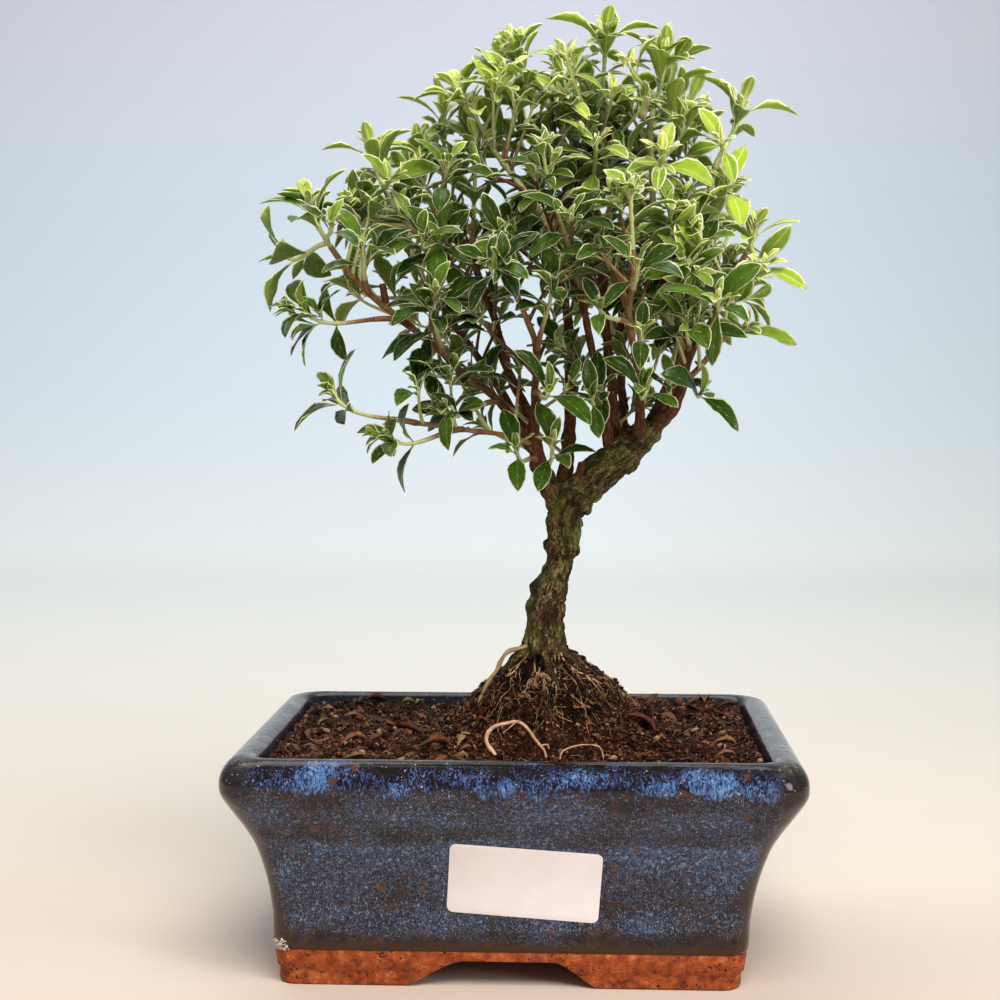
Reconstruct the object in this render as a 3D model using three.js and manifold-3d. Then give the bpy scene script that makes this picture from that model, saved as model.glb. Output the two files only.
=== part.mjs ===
// Serissa bonsai in a glazed rectangular pot.
// Millimetres, +Z up, the pot's front towards -Y, origin at the centre of the pot's foot.
import * as THREE from 'three';
import { mergeVertices } from 'three/addons/utils/BufferGeometryUtils.js';
import Module from 'manifold-3d';

const wasm = await Module();
wasm.setup();

// ---------------------------------------------------------------- driving dimensions
const potWidth = 173;
const potDepth = 130;
const potHeight = 70.6;
const potCorner = 11;
const potLean = 1.6; // the hand-set foot sits this far left of the rim
const floorHeight = 15;
const footInset = 17;
const underside = 9;
const footWall = 9;
const arch = { height: 8.3, half: 13, left: 33, right: 28.5 };
const sideArch = { height: 8.3, half: 8, left: 19, right: 19 };
const drain = { spacing: 70, radius: 8 };
const drainMesh = { size: 24, thickness: 1, hole: 5, pitch: 7 };
const seatGap = 0.3; // clearance between pieces that touch
const soilLevel = 67;
const mound = { x: 9, y: 0, top: 30, slope: 38, left: 28, right: 35, depth: 33 };
const label = { width: 45, height: 20, thickness: 0.4, corner: 2, x: 2.2, z: 32.5, tilt: -4 };
const bladeThickness = 0.62;
const bladeRatio = 0.43; // width of a leaf to its length
const bladeClearance = 0.35; // to other shoots and the wood
const siblingClearance = 0.1; // to leaves on the same spray
const leafRoot = 0.8; // height of a leaf's root on the stem
const stemRadius = { base: 0.95, tip: 0.5 };
const trunkHoleGap = 0.35;

// The pot's wall from the foot to the inner floor: inset from the widest outline, and height.
const potWall = [
  [footInset + 0.8, 0], [footInset, 1.4], [footInset - 0.4, 10.2], [15.6, 11.2], [15.1, 13.2],
  [14.7, 22], [13.1, 32], [10.2, 42], [7.3, 48], [3.6, 54], [0.7, 59],
  [0, 62], [0.3, 65], [1.4, 67.5], [3.4, 69.7], [6.4, potHeight], [9, 70], [10.6, 67.6],
];
const potInside = [[12, 60], [15.6, 50], [20.5, 36], [22, 22], [24, floorHeight]];

// Woody limbs: x, y, z and radius at the points that each passes through.
const limbs = {
  trunk: [
    [8, 0, 74, 7.6], [8, 0, 88, 7.1], [8, 0, 98, 6.3], [9, 0, 109, 5.1], [11, 0, 117, 4.5],
    [13, 0, 125, 4.3], [14, 0, 132, 4.8], [15, 0, 140, 5.3], [19, 0, 145, 5.6],
    [25, 0, 151, 5.7], [32, 0, 157, 5.2], [39, 0, 163, 4.4], [42, 0, 167, 3.4],
  ],
  leftFork: [[13, 0, 140, 3.6], [9, 0, 148, 2.9], [6, 0, 155, 2.4], [5, 0, 162, 1.9]],
  leftTall: [
    [6, 1, 158, 1.9], [2, 4, 172, 1.9], [-4, 8, 184, 1.8], [-8, 12, 199, 1.6],
    [-13, 15, 213, 1.5], [-18, 18, 224, 1.3], [-25, 22, 238, 1.2],
  ],
  leftWide: [
    [6, -1, 156, 1.6], [-5, -5, 173, 1.3], [-19, -9, 185, 1.3], [-30, -13, 195, 1.2],
    [-45, -17, 207, 1.1], [-54, -20, 217, 1],
  ],
  leftLow: [[4, -2, 161, 1], [-4, -9, 164, 0.95], [-17, -15, 166, 0.95], [-31, -21, 168, 0.95]],
  leftInner: [
    [-12, 15, 210, 1.2], [-19, 8, 216, 1.1], [-27, 2, 222, 1], [-34, -4, 229, 1],
    [-39, -8, 235, 0.95],
  ],
  middle: [
    [5, -1, 159, 1.5], [5, -11, 177, 1.4], [6, -17, 190, 1.2], [2, -21, 202, 1.1],
    [-3, -24, 213, 0.95],
  ],
  behind: [
    [14, 1, 146, 2.4], [16, 12, 168, 2.5], [16, 18, 183, 2.4], [15, 26, 202, 1.8],
    [13, 34, 219, 1.5], [12, 42, 238, 1.2],
  ],
  backLeft: [
    [9, 1, 150, 1.9], [-3, 13, 172, 1.7], [-17, 26, 192, 1.5], [-31, 36, 211, 1.2],
    [-40, 42, 226, 1],
  ],
  frontMid: [
    [29, -1, 156, 1.7], [26, -7, 178, 1.4], [22, -10, 195, 1.4], [19, -13, 210, 1.3],
    [16, -17, 220, 1],
  ],
  frontLeft: [
    [20, -12, 205, 1.3], [14, -8, 219, 1.3], [6, -4, 235, 1.2], [-2, -1, 246, 1.1],
    [-8, 1, 254, 1.1], [-13, 3, 262, 1],
  ],
  centre: [
    [30, 1, 156, 2], [30, 8, 175, 2], [28, 12, 194, 1.8], [26, 15, 217, 1.6],
    [27, 16, 229, 1.5], [22, 19, 243, 1.4], [16, 22, 261, 1.1],
  ],
  centreTall: [[26, 15, 226, 1.2], [29, 9, 239, 1.1], [27, 6, 252, 1], [26, 4, 264, 0.95]],
  backCentre: [
    [34, 2, 158, 2], [33, 20, 178, 1.8], [33, 34, 200, 1.5], [33, 44, 222, 1.2],
  ],
  frontRight: [
    [38, -1, 162, 2], [38, -14, 177, 1.6], [36, -24, 189, 1.3], [34, -30, 200, 1.1],
    [35, -35, 213, 0.95],
  ],
  rightTall: [
    [41, 0, 164, 2.4], [48, 6, 181, 2.1], [51, 8, 193, 1.9], [47, 6, 207, 1.6],
    [43, 3, 226, 1.3], [42, 1, 245, 1.2], [41, 0, 261, 1.05],
  ],
  rightWide: [
    [40, 0, 164, 2.4], [49, -4, 173, 2.1], [52, -6, 183, 1.7], [53, -7, 190, 1.6],
    [59, -10, 198, 1.4], [63, -12, 207, 1.1], [68, -14, 216, 1],
  ],
  rightTwig: [[52, -6, 180, 1.2], [58, -8, 187, 1.1], [66, -12, 197, 0.95]],
  rightUp: [
    [53, -6, 188, 1.5], [56, -2, 205, 1.4], [53, 2, 219, 1.3], [54, 3, 226, 1.3],
    [59, 5, 238, 1.2], [62, 7, 249, 1.05],
  ],
  backRight: [[43, 1, 166, 2.2], [52, 14, 181, 1.8], [58, 26, 198, 1.5], [62, 36, 214, 1.2]],
};

// Leafy shoots: limb (or '+' to fork off the last shoot named by its limb), place along it from
// 0 to 1, tip, pairs of leaves, turn of the first pair in degrees, and size of the leaves.
const shoots = [
  ['leftWide', 1, [-63, -26, 234], 3, 90, 1.15],
  ['+', 0.1, [-55, -36, 227], 2, 60, 0.9],
  ['+', 0.05, [-71, -20, 219], 3, 90, 1.3],
  ['leftWide', 0.82, [-46, -32, 221], 3, 40, 1.1],
  ['leftWide', 0.68, [-64, -32, 202], 4, 60, 1.1],
  ['leftWide', 0.43, [-25, -30, 201], 3, 30, 1],
  ['leftWide', 0.22, [-22, -26, 172], 3, 30, 0.95],
  ['leftLow', 1, [-55, -30, 176], 3, 75, 1.15],
  ['leftLow', 0.67, [-38, -32, 164], 2, 70, 1.1],
  ['leftInner', 1, [-47, -4, 254], 3, 90, 1],
  ['+', 0.15, [-40, -18, 242], 2, 45, 0.95],
  ['leftInner', 0.5, [-29, -24, 224], 2, 80, 1],
  ['leftTall', 1, [-25, 12, 267], 3, 80, 1.2],
  ['+', 0.15, [-33, 16, 256], 3, 40, 1],
  ['+', 0.1, [-34, 38, 256], 3, 20, 1],
  ['leftTall', 0.74, [-14, 2, 257], 3, 60, 1],
  ['leftTall', 0.47, [-17, -8, 205], 2, 10, 1],
  ['frontLeft', 1, [-20, 2, 273], 3, 65, 1.1],
  ['frontLeft', 0.6, [-9, 18, 271], 2, 50, 0.9],
  ['frontLeft', 0.4, [-5, -26, 225], 3, 30, 1.1],
  ['middle', 1, [-7, -42, 215], 3, 60, 1],
  ['middle', 0.5, [11, -34, 209], 3, 0, 1.05],
  ['middle', 0.25, [10, -38, 178], 2, 50, 1.1],
  ['behind', 1, [4, 46, 262], 3, 0, 1],
  ['+', 0.2, [24, 50, 256], 2, 45, 1],
  ['behind', 0.7, [-6, 50, 236], 3, 30, 1],
  ['backLeft', 1, [-48, 42, 240], 3, 0, 1],
  ['+', 0.2, [-32, 52, 238], 2, 30, 0.95],
  ['backLeft', 0.7, [-58, 26, 214], 3, 20, 1],
  ['backLeft', 0.55, [-14, 50, 208], 3, 60, 1],
  ['centre', 1, [-3, 14, 288], 3, 90, 1.05],
  ['+', 0.12, [13, -4, 270], 2, 45, 0.85],
  ['+', 0.1, [14, 38, 276], 3, 30, 1],
  ['centre', 0.78, [24, -12, 254], 2, 30, 0.9],
  ['centreTall', 1, [27, 2, 290], 3, 90, 1.25],
  ['centreTall', 0.7, [15, -10, 281], 3, 60, 0.95],
  ['frontMid', 1, [8, -30, 250], 4, 0, 0.85],
  ['frontMid', 0.25, [23, -28, 175], 2, 20, 1],
  ['backCentre', 1, [38, 49, 248], 3, 0, 1],
  ['+', 0.2, [54, 48, 236], 3, 45, 1],
  ['backCentre', 0.6, [26, 52, 212], 3, 30, 1],
  ['frontRight', 1, [34, -42, 235], 3, 0, 1.05],
  ['frontRight', 0.86, [36, -51, 214], 3, 45, 1],
  ['frontRight', 0.7, [25, -42, 202], 2, 20, 0.9],
  ['frontRight', 0.5, [37, -50, 194], 2, 0, 0.9],
  ['frontRight', 0.25, [38, -40, 178], 2, 60, 1],
  ['rightTall', 1, [46, 4, 282], 3, 75, 1.3],
  ['+', 0.1, [35, -4, 279], 2, 60, 0.95],
  ['+', 0.1, [55, 20, 272], 3, 10, 1],
  ['rightTall', 0.68, [47, -18, 232], 3, 20, 1.1],
  ['rightTall', 0.84, [44, -20, 249], 2, 0, 1],
  ['rightUp', 1, [71, 10, 269], 3, 90, 1.15],
  ['+', 0.1, [63, -10, 254], 2, 20, 0.9],
  ['rightUp', 0.8, [65, -8, 241], 2, 0, 1.1],
  ['rightUp', 0.35, [52, -28, 215], 3, 40, 1],
  ['rightWide', 1, [73, -18, 227], 3, 90, 1.15],
  ['+', 0.16, [74, -28, 215], 3, 80, 1],
  ['rightWide', 0.78, [60, -38, 204], 3, 70, 1.1],
  ['rightTwig', 1, [69, -18, 196], 2, 80, 1.1],
  ['rightWide', 0.35, [56, -24, 177], 2, 60, 1.2],
  ['rightWide', 0.5, [51, -32, 198], 2, 20, 1],
  ['backRight', 1, [70, 44, 234], 3, 0, 1],
  ['backRight', 0.75, [76, 26, 214], 3, 30, 1],
  ['leftFork', 0.67, [0, -24, 159], 2, 20, 0.95],
  ['leftFork', 0.34, [11, -27, 161], 3, 30, 1.05],
];

// Pairs of leaves, from the tip down: distance to the pair before, length and tilt in degrees.
const leafPairs = [
  [0.6, 9, 28], [2.2, 14.5, 52], [4.2, 15, 66], [5.6, 14, 76], [6.4, 12, 84],
];
// A leaf that would cross another shoot is turned and shortened by the first pair that clears it.
const bends = [[0, 1], [22, 1], [-22, 1], [44, 0.9], [-44, 0.9], [12, 0.7], [-30, 0.65]];

// Surface roots in plan, running down the mound from the trunk, with their first radius.
const surfaceRoots = [
  { radius: 1.7, route: [[2, -2], [-5, -5], [-9, -11], [-14, -12], [-17, -20]] },
  { radius: 1.5, route: [[13, -3], [20, -5], [23, -13], [31, -13], [33, -21]] },
  { radius: 1.3, route: [[8, -6], [11, -14], [17, -17], [19, -26]] },
  { radius: 1.5, route: [[12, 4], [16, 12], [26, 13], [30, 22]] },
];
// A bare root that leaves the soil and dives back into it.
const rootLoop = [
  [-4.5, -38, 62], [-5.5, -38, 67], [-9, -34, 72], [-6, -30, 75.5], [-1, -28, 76.5],
  [4, -30, 74], [7.5, -33, 70.5], [11.5, -36, 66.5], [12.5, -37, 62],
];
const rootLoopRadius = 1.05;

// ---------------------------------------------------------------- solids
const up = new THREE.Vector3(0, 0, 1);
const right = new THREE.Vector3(1, 0, 0);

function toSolid(geometry) {
  const bare = geometry.clone();
  bare.deleteAttribute('normal');
  bare.deleteAttribute('uv');
  const merged = mergeVertices(bare, 1e-4);
  const index = merged.index.array;
  const triangles = [];
  for (let i = 0; i < index.length; i += 3) {
    const [a, b, c] = [index[i], index[i + 1], index[i + 2]];
    if (a !== b && b !== c && c !== a) triangles.push(a, b, c);
  }
  return new wasm.Manifold(new wasm.Mesh({
    numProp: 3,
    vertProperties: new Float32Array(merged.attributes.position.array),
    triVerts: new Uint32Array(triangles),
  }));
}

function toGeometry(solid) {
  const mesh = solid.getMesh();
  const geometry = new THREE.BufferGeometry();
  geometry.setAttribute('position', new THREE.BufferAttribute(mesh.vertProperties, 3));
  geometry.setIndex(new THREE.BufferAttribute(mesh.triVerts, 1));
  geometry.computeVertexNormals();
  return geometry;
}

// A closed skin over rings of points, each ring anticlockwise as seen from the ring after it.
function loft(rings) {
  const sides = rings[0].length;
  const points = rings.flat();
  const middle = (ring) => ring.reduce((sum, p) => sum.add(p), new THREE.Vector3()).divideScalar(sides);
  const first = points.length;
  const last = first + 1;
  const all = [...points, middle(rings[0]), middle(rings.at(-1))];
  const index = [];
  for (let i = 0; i < sides; i += 1) {
    const j = (i + 1) % sides;
    for (let k = 0; k < rings.length - 1; k += 1) {
      const low = k * sides;
      const high = low + sides;
      index.push(low + i, low + j, high + i, low + j, high + j, high + i);
    }
    const top = (rings.length - 1) * sides;
    index.push(first, j, i, last, top + i, top + j);
  }
  const geometry = new THREE.BufferGeometry().setFromPoints(all);
  geometry.setIndex(index);
  return geometry;
}

// A round bar along a curve from place `start` to `end`, its radius given by the place.
function bar(curve, radiusAt, steps, sides, start = 0, end = 1) {
  const rings = [];
  let side = null;
  for (let k = 0; k <= steps; k += 1) {
    const place = start + ((end - start) * k) / steps;
    const axis = curve.getTangent(place);
    side ??= Math.abs(axis.y) < 0.8 ? new THREE.Vector3(0, 1, 0) : right.clone();
    side.addScaledVector(axis, -side.dot(axis)).normalize();
    const across = new THREE.Vector3().crossVectors(axis, side);
    const centre = curve.getPoint(place);
    rings.push(Array.from({ length: sides }, (_, i) => {
      const angle = (2 * Math.PI * i) / sides;
      const radius = radiusAt(place, angle);
      return centre.clone()
        .addScaledVector(side, radius * Math.cos(angle))
        .addScaledVector(across, radius * Math.sin(angle));
    }));
  }
  return loft(rings);
}

function boxSolid(width, depth, height, x, y, z) {
  return toSolid(new THREE.BoxGeometry(width, depth, height).translate(x, y, z + height / 2));
}

// ---------------------------------------------------------------- pot
// The pot's rounded rectangle at one height, anticlockwise from its right side.
function potRing(inset, z, corner = 3, long = 1, short = 1) {
  const halfX = potWidth / 2 - inset;
  const halfY = potDepth / 2 - inset;
  const radius = Math.max(potCorner - 0.3 * inset, 3);
  const shift = -potLean * (1 - z / potHeight);
  const points = [];
  for (let quarter = 0; quarter < 4; quarter += 1) {
    const cx = (quarter === 0 || quarter === 3 ? 1 : -1) * (halfX - radius);
    const cy = (quarter < 2 ? 1 : -1) * (halfY - radius);
    for (let i = 0; i <= corner; i += 1) {
      const angle = (Math.PI / 2) * (quarter + i / corner);
      points.push(new THREE.Vector3(
        cx + radius * Math.cos(angle) + shift, cy + radius * Math.sin(angle), z));
    }
    const steps = quarter % 2 ? short : long;
    const run = (quarter % 2 ? halfY : halfX) * 2 - 2 * radius;
    const from = points.at(-1);
    const heading = (Math.PI / 2) * (quarter + 2);
    for (let i = 1; i < steps; i += 1) {
      points.push(new THREE.Vector3(
        from.x + (Math.cos(heading) * run * i) / steps,
        from.y + (Math.sin(heading) * run * i) / steps, z));
    }
  }
  return points;
}

function wallInset(z, section) {
  const next = Math.max(1, section.findIndex(([, height]) => height >= z));
  const [insetA, zA] = section[next - 1];
  const [insetB, zB] = section[next];
  return insetA + ((insetB - insetA) * (z - zA)) / (zB - zA);
}

// The opening between two corner feet, run through the foot along Y.
function archCutter({ height, half, left, right: far }, length) {
  const shape = new THREE.Shape();
  shape.moveTo(-left, -1);
  shape.lineTo(-left, 0);
  shape.bezierCurveTo(-left + 9, 0, -half - 9, height, -half, height);
  shape.lineTo(half, height);
  shape.bezierCurveTo(half + 9, height, far - 9, 0, far, 0);
  shape.lineTo(far, -1);
  const cutter = new THREE.ExtrudeGeometry(shape, {
    depth: length, bevelEnabled: false, curveSegments: 4,
  });
  return cutter.rotateX(Math.PI / 2).translate(-potLean, length / 2, 0);
}

function makePot() {
  const section = [...potWall, ...potInside];
  let pot = toSolid(loft(section.map(([inset, z]) => potRing(inset, z))));
  const recess = loft([-1, underside].map((z) => potRing(footInset + footWall, z)));
  pot = pot.subtract(toSolid(recess));
  pot = pot.subtract(toSolid(archCutter(arch, potDepth + 10)));
  pot = pot.subtract(toSolid(archCutter(sideArch, potWidth + 10).rotateZ(Math.PI / 2)));
  for (const side of [-1, 1]) {
    const hole = new THREE.CylinderGeometry(drain.radius, drain.radius, 30, 16);
    hole.rotateX(Math.PI / 2).translate((side * drain.spacing) / 2, 0, floorHeight);
    pot = pot.subtract(toSolid(hole));
  }
  return pot;
}

function makeDrainMesh(side) {
  const { size, thickness, hole, pitch } = drainMesh;
  const x = (side * drain.spacing) / 2;
  const z = floorHeight + seatGap;
  let plate = boxSolid(size, size, thickness, x, 0, z);
  for (const row of [-1, 0, 1]) {
    for (const column of [-1, 0, 1]) {
      plate = plate.subtract(
        boxSolid(hole, hole, 4 * thickness, x + column * pitch, row * pitch, z - thickness));
    }
  }
  return plate;
}

// A bare rounded sticker that follows the curve of the front wall.
function makeLabel() {
  const rows = [0, 0.6, 2, 6, 10, 14, 18, 19.4, 20];
  const tilt = THREE.MathUtils.degToRad(label.tilt);
  const rings = rows.map((row) => {
    const edge = Math.max(label.corner - Math.min(row, label.height - row), 0);
    const cut = label.corner - Math.sqrt(label.corner ** 2 - edge ** 2);
    const half = label.width / 2 - cut;
    const rise = row - label.height / 2;
    return [[-half, 1], [half, 1], [half, 0], [-half, 0]].map(([across, outer]) => {
      const x = label.x + across * Math.cos(tilt) - rise * Math.sin(tilt);
      const z = label.z + across * Math.sin(tilt) + rise * Math.cos(tilt);
      const wall = potDepth / 2 - wallInset(z, potWall);
      return new THREE.Vector3(x, -(wall + seatGap + outer * label.thickness), z);
    });
  });
  return loft(rings);
}

// ---------------------------------------------------------------- soil
function soilHeight(x, y) {
  const reachX = x < mound.x ? mound.left : mound.right;
  const away = Math.hypot((x - mound.x) / reachX, (y - mound.y) / mound.depth);
  const cone = mound.slope * Math.max(1.06 - away, 0) ** 1.1;
  const clods = 0.9 * Math.sin(0.31 * x + 1.3) * Math.cos(0.27 * y) + 0.7 * Math.sin(0.17 * x - 0.4 * y);
  return soilLevel + Math.min(cone, mound.top) + clods;
}

function makeSoil(hollows) {
  const around = [1, 7, 5];
  const rings = [];
  for (const z of [floorHeight + seatGap, 36, 65]) {
    const section = [...potInside].reverse();
    const inset = z > 60 ? 11.4 : wallInset(z, section);
    rings.push(potRing(inset + seatGap + 0.05, z, ...around));
  }
  const rim = rings.at(-1);
  for (const share of [0.06, 0.3, 0.5, 0.65, 0.77, 0.88]) {
    rings.push(rim.map((p) => {
      const angle = Math.atan2(p.y - mound.y, p.x - mound.x);
      const collar = new THREE.Vector3(
        mound.x + 4 * Math.cos(angle), mound.y + 4 * Math.sin(angle), 0);
      const spot = p.clone().lerp(collar, share);
      spot.z = soilHeight(spot.x, spot.y);
      return spot;
    }));
  }
  let soil = toSolid(loft(rings));
  for (const hollow of hollows) soil = soil.subtract(hollow);
  for (const side of [-1, 1]) {
    const size = drainMesh.size + 2 * seatGap;
    const height = drainMesh.thickness + 3 * seatGap;
    soil = soil.subtract(
      boxSolid(size, size, height, (side * drain.spacing) / 2, 0, floorHeight));
  }
  return soil;
}

// ---------------------------------------------------------------- wood
const limbCurves = {};
for (const [name, points] of Object.entries(limbs)) {
  const through = points.map(([x, y, z]) => new THREE.Vector3(x, y, z));
  limbCurves[name] = new THREE.CatmullRomCurve3(through, false, 'catmullrom', 0.5);
}

function limbRadius(name, place) {
  const points = limbs[name];
  const spot = place * (points.length - 1);
  const low = Math.min(Math.floor(spot), points.length - 2);
  return THREE.MathUtils.lerp(points[low][3], points[low + 1][3], spot - low);
}

function limbSolid(name, grow = 0) {
  const thick = name === 'trunk';
  const knobs = (place, angle) => (thick ? 0.07 * Math.sin(3 * angle + 19 * place) : 0)
    + (thick ? 0.05 * Math.sin(5 * angle - 31 * place) : 0);
  const radiusAt = (place, angle) => limbRadius(name, place) * (1 + knobs(place, angle)) + grow;
  const steps = thick ? 16 : limbs[name].length - 1;
  const slim = limbs[name][0][3] < 1.8;
  return toSolid(bar(limbCurves[name], radiusAt, steps, thick ? 8 : 5 - slim));
}

function surfaceRoot({ radius, route }, grow = 0) {
  const ends = [[...route[0], 2], ...route.slice(1).map((p) => [...p, -0.1]), [...route.at(-1), -3]];
  const points = ends.map(([x, y, lift]) => new THREE.Vector3(x, y, soilHeight(x, y) + lift));
  points.at(-1).lerpVectors(points.at(-3), points.at(-2), 1.5).z -= 3;
  const curve = new THREE.CatmullRomCurve3(points, false, 'catmullrom', 0.5);
  return toSolid(bar(curve, (place) => radius * (1 - 0.5 * place) + grow, 6, 5));
}

function loopSolid(grow = 0) {
  const points = rootLoop.map((p) => new THREE.Vector3(...p));
  const curve = new THREE.CatmullRomCurve3(points, false, 'catmullrom', 0.5);
  return toSolid(bar(curve, (place) => rootLoopRadius * (1 - 0.2 * place) + grow, 12, 5));
}

// ---------------------------------------------------------------- shoots
function seeded(seed) {
  let state = seed;
  return () => {
    state = (state * 16807) % 2147483647;
    return state / 2147483647;
  };
}

// The course of one shoot: it leaves its bearer, bends outwards and rises to its tip.
function shootCurve(bearer, place, tip) {
  const root = bearer.getPoint(place);
  const end = new THREE.Vector3(...tip);
  const span = end.clone().sub(root);
  const reach = span.length();
  span.divideScalar(reach);
  const start = bearer.getTangent(place).multiplyScalar(0.5).add(span).normalize();
  const finish = span.clone().multiplyScalar(0.55).addScaledVector(up, 0.55).normalize();
  return new THREE.CubicBezierCurve3(
    root,
    root.clone().addScaledVector(start, 0.33 * reach),
    end.clone().addScaledVector(finish, -0.33 * reach),
    end,
  );
}

const shootRadius = (place) => THREE.MathUtils.lerp(stemRadius.base, stemRadius.tip, place);

// A shoot's joints from its tip down: place on the curve, and what its pair of leaves is like.
function shootJoints(curve, green, pairs, turn, size, random) {
  const reach = curve.getLength() * (1 - green);
  const need = leafPairs.slice(0, pairs).reduce((sum, [gap]) => sum + gap, 0);
  const squeeze = Math.min(1, (reach - 2) / need);
  const joints = [];
  let below = 0;
  for (let k = 0; k < pairs; k += 1) {
    const [gap, length, tilt] = leafPairs[k];
    below += Math.max(gap * squeeze * (0.9 + 0.2 * random()), k ? 1.3 : 0.8);
    const joint = { place: 1 - (1 - green) * (below / reach), side: k % 2, leaves: [] };
    joint.twist = THREE.MathUtils.degToRad(turn + 24 * (random() - 0.5));
    for (let i = 0; i < 2; i += 1) {
      joint.leaves.push({
        sway: 16 * (random() - 0.5),
        tilt: tilt + 16 * (random() - 0.5),
        length: length * size * (0.85 + 0.3 * random()),
        droop: 0.12 + 0.22 * random(),
        fold: 0.25 + 0.25 * random(),
      });
    }
    joints.push(joint);
  }
  return joints.reverse();
}

// Four points round a square stem, anticlockwise as seen from its tip.
function squareRing(centre, first, second, twist, radius) {
  return [0.25, 0.75, 1.25, 1.75].map((turns) => {
    const angle = twist + Math.PI * (turns - 0.5);
    return centre.clone()
      .addScaledVector(first, radius * Math.cos(angle))
      .addScaledVector(second, radius * Math.sin(angle));
  });
}

// A folded, arched blade: past its root, five pairs of points on its two faces and one at its tip.
function bladePoints(leaf, [turn, share], grow) {
  const { root, axis, first, second, heading } = leaf;
  const angle = heading + THREE.MathUtils.degToRad(leaf.sway + turn);
  const tilt = THREE.MathUtils.degToRad(leaf.tilt);
  const radial = first.clone().multiplyScalar(Math.cos(angle)).addScaledVector(second, Math.sin(angle));
  const along = axis.clone().multiplyScalar(Math.cos(tilt)).addScaledVector(radial, Math.sin(tilt));
  const face = axis.clone().multiplyScalar(Math.sin(tilt)).addScaledVector(radial, -Math.cos(tilt));
  face.addScaledVector(up, 0.3);
  face.addScaledVector(along, -face.dot(along)).normalize();
  const left = new THREE.Vector3().crossVectors(along, face);
  const length = leaf.length * share + grow / 2;
  const half = (leaf.length * share * bladeRatio) / 2 + grow / 2;
  const base = root.reduce((sum, p) => sum.add(p), new THREE.Vector3()).divideScalar(4);
  const spot = (u, v, side) => base.clone()
    .addScaledVector(along, length * u)
    .addScaledVector(left, half * v)
    .addScaledVector(face, (side * (bladeThickness + grow)) / 2
      + length * (0.1 * Math.sin(2.8 * u) - leaf.droop * u * u) + leaf.fold * half * Math.abs(v));
  const stations = [[0.32, 0.86], [0.32, -0.86], [0.52, 0], [0.7, 0.86], [0.7, -0.86]];
  return [...stations.flatMap(([u, v]) => [spot(u, v, 1), spot(u, v, -1)]), spot(1, 0, 0)];
}

const quad = (a, b, c, d) => [a, b, c, a, c, d];

// Triangles of a blade whose root is the points a, b, c, d (lower left, lower right, upper right,
// upper left) and whose other points start at n.
function bladeSkin([a, b, c, d], n) {
  const [l1, m1, r1, s1, mid, low, l2, m2, r2, s2, tip] = Array.from({ length: 11 }, (_, i) => n + i);
  return [
    ...quad(d, l1, r1, c), ...quad(a, b, s1, m1), ...quad(a, m1, l1, d), ...quad(c, r1, s1, b),
    l1, l2, mid, l2, r2, mid, r2, r1, mid, r1, l1, mid,
    m2, m1, low, s2, m2, low, s1, s2, low, m1, s1, low,
    ...quad(m1, m2, l2, l1), ...quad(r1, r2, s2, s1),
    l2, tip, r2, m2, s2, tip, m2, tip, l2, r2, tip, s2,
  ];
}

function bladeSolid(leaf, bend, grow = 0) {
  const geometry = new THREE.BufferGeometry()
    .setFromPoints([...leaf.root, ...bladePoints(leaf, bend, grow)]);
  geometry.setIndex([...bladeSkin([0, 1, 2, 3], 4), ...quad(0, 3, 2, 1)]);
  return toSolid(geometry);
}

// The square green stem: its rings, and the leaves that stand on its faces.
function stemOf(curve, green, joints) {
  const length = curve.getLength();
  const rings = [];
  const leaves = [];
  let first = null;
  const ringAt = (place, twist) => {
    const axis = curve.getTangent(place);
    first ??= Math.abs(axis.x) < 0.85 ? right.clone() : up.clone();
    first.addScaledVector(axis, -first.dot(axis)).normalize();
    const second = new THREE.Vector3().crossVectors(axis, first);
    const centre = curve.getPoint(place);
    rings.push(squareRing(centre, first, second, twist, 1.15 * shootRadius(place)));
    return { axis, first: first.clone(), second };
  };
  ringAt(green, joints[0].twist);
  const bare = (joints[0].place - green) * length;
  if (bare > 9) ringAt((green + joints[0].place) / 2, joints[0].twist);
  for (const joint of joints) {
    ringAt(joint.place - leafRoot / 2 / length, joint.twist);
    const frame = ringAt(joint.place + leafRoot / 2 / length, joint.twist);
    const [low, high] = rings.slice(-2);
    for (const [i, leaf] of joint.leaves.entries()) {
      const side = joint.side + 2 * i;
      const next = (side + 1) % 4;
      Object.assign(leaf, frame, {
        root: [low[side], low[next], high[next], high[side]],
        heading: joint.twist + (Math.PI / 2) * side,
        ring: rings.length - 2,
        side,
      });
      leaves.push(leaf);
    }
  }
  return { rings, leaves, tip: curve.getPoint(1) };
}

// One skin over a stem and the leaves that it keeps.
function shootSkin({ rings, leaves, tip }) {
  const points = rings.flat();
  const index = [...quad(0, 3, 2, 1)];
  const bearing = new Set(leaves.map(({ ring, side }) => 4 * ring + side));
  for (let ring = 0; ring < rings.length - 1; ring += 1) {
    for (let side = 0; side < 4; side += 1) {
      if (bearing.has(4 * ring + side)) continue;
      const next = (side + 1) % 4;
      const low = 4 * ring;
      index.push(...quad(low + side, low + next, low + 4 + next, low + 4 + side));
    }
  }
  const last = 4 * (rings.length - 1);
  for (let side = 0; side < 4; side += 1) index.push(last + side, last + ((side + 1) % 4), points.length);
  points.push(tip);
  for (const { ring, side, bend, ...leaf } of leaves) {
    const low = 4 * ring;
    const next = (side + 1) % 4;
    index.push(...bladeSkin([low + side, low + next, low + 4 + next, low + 4 + side], points.length));
    points.push(...bladePoints(leaf, bend, 0));
  }
  const geometry = new THREE.BufferGeometry().setFromPoints(points);
  geometry.setIndex(index);
  return toSolid(geometry);
}

const overlaps = (a, b) => a.min.every((low, i) => low <= b.max[i] && b.min[i] <= a.max[i]);

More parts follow.
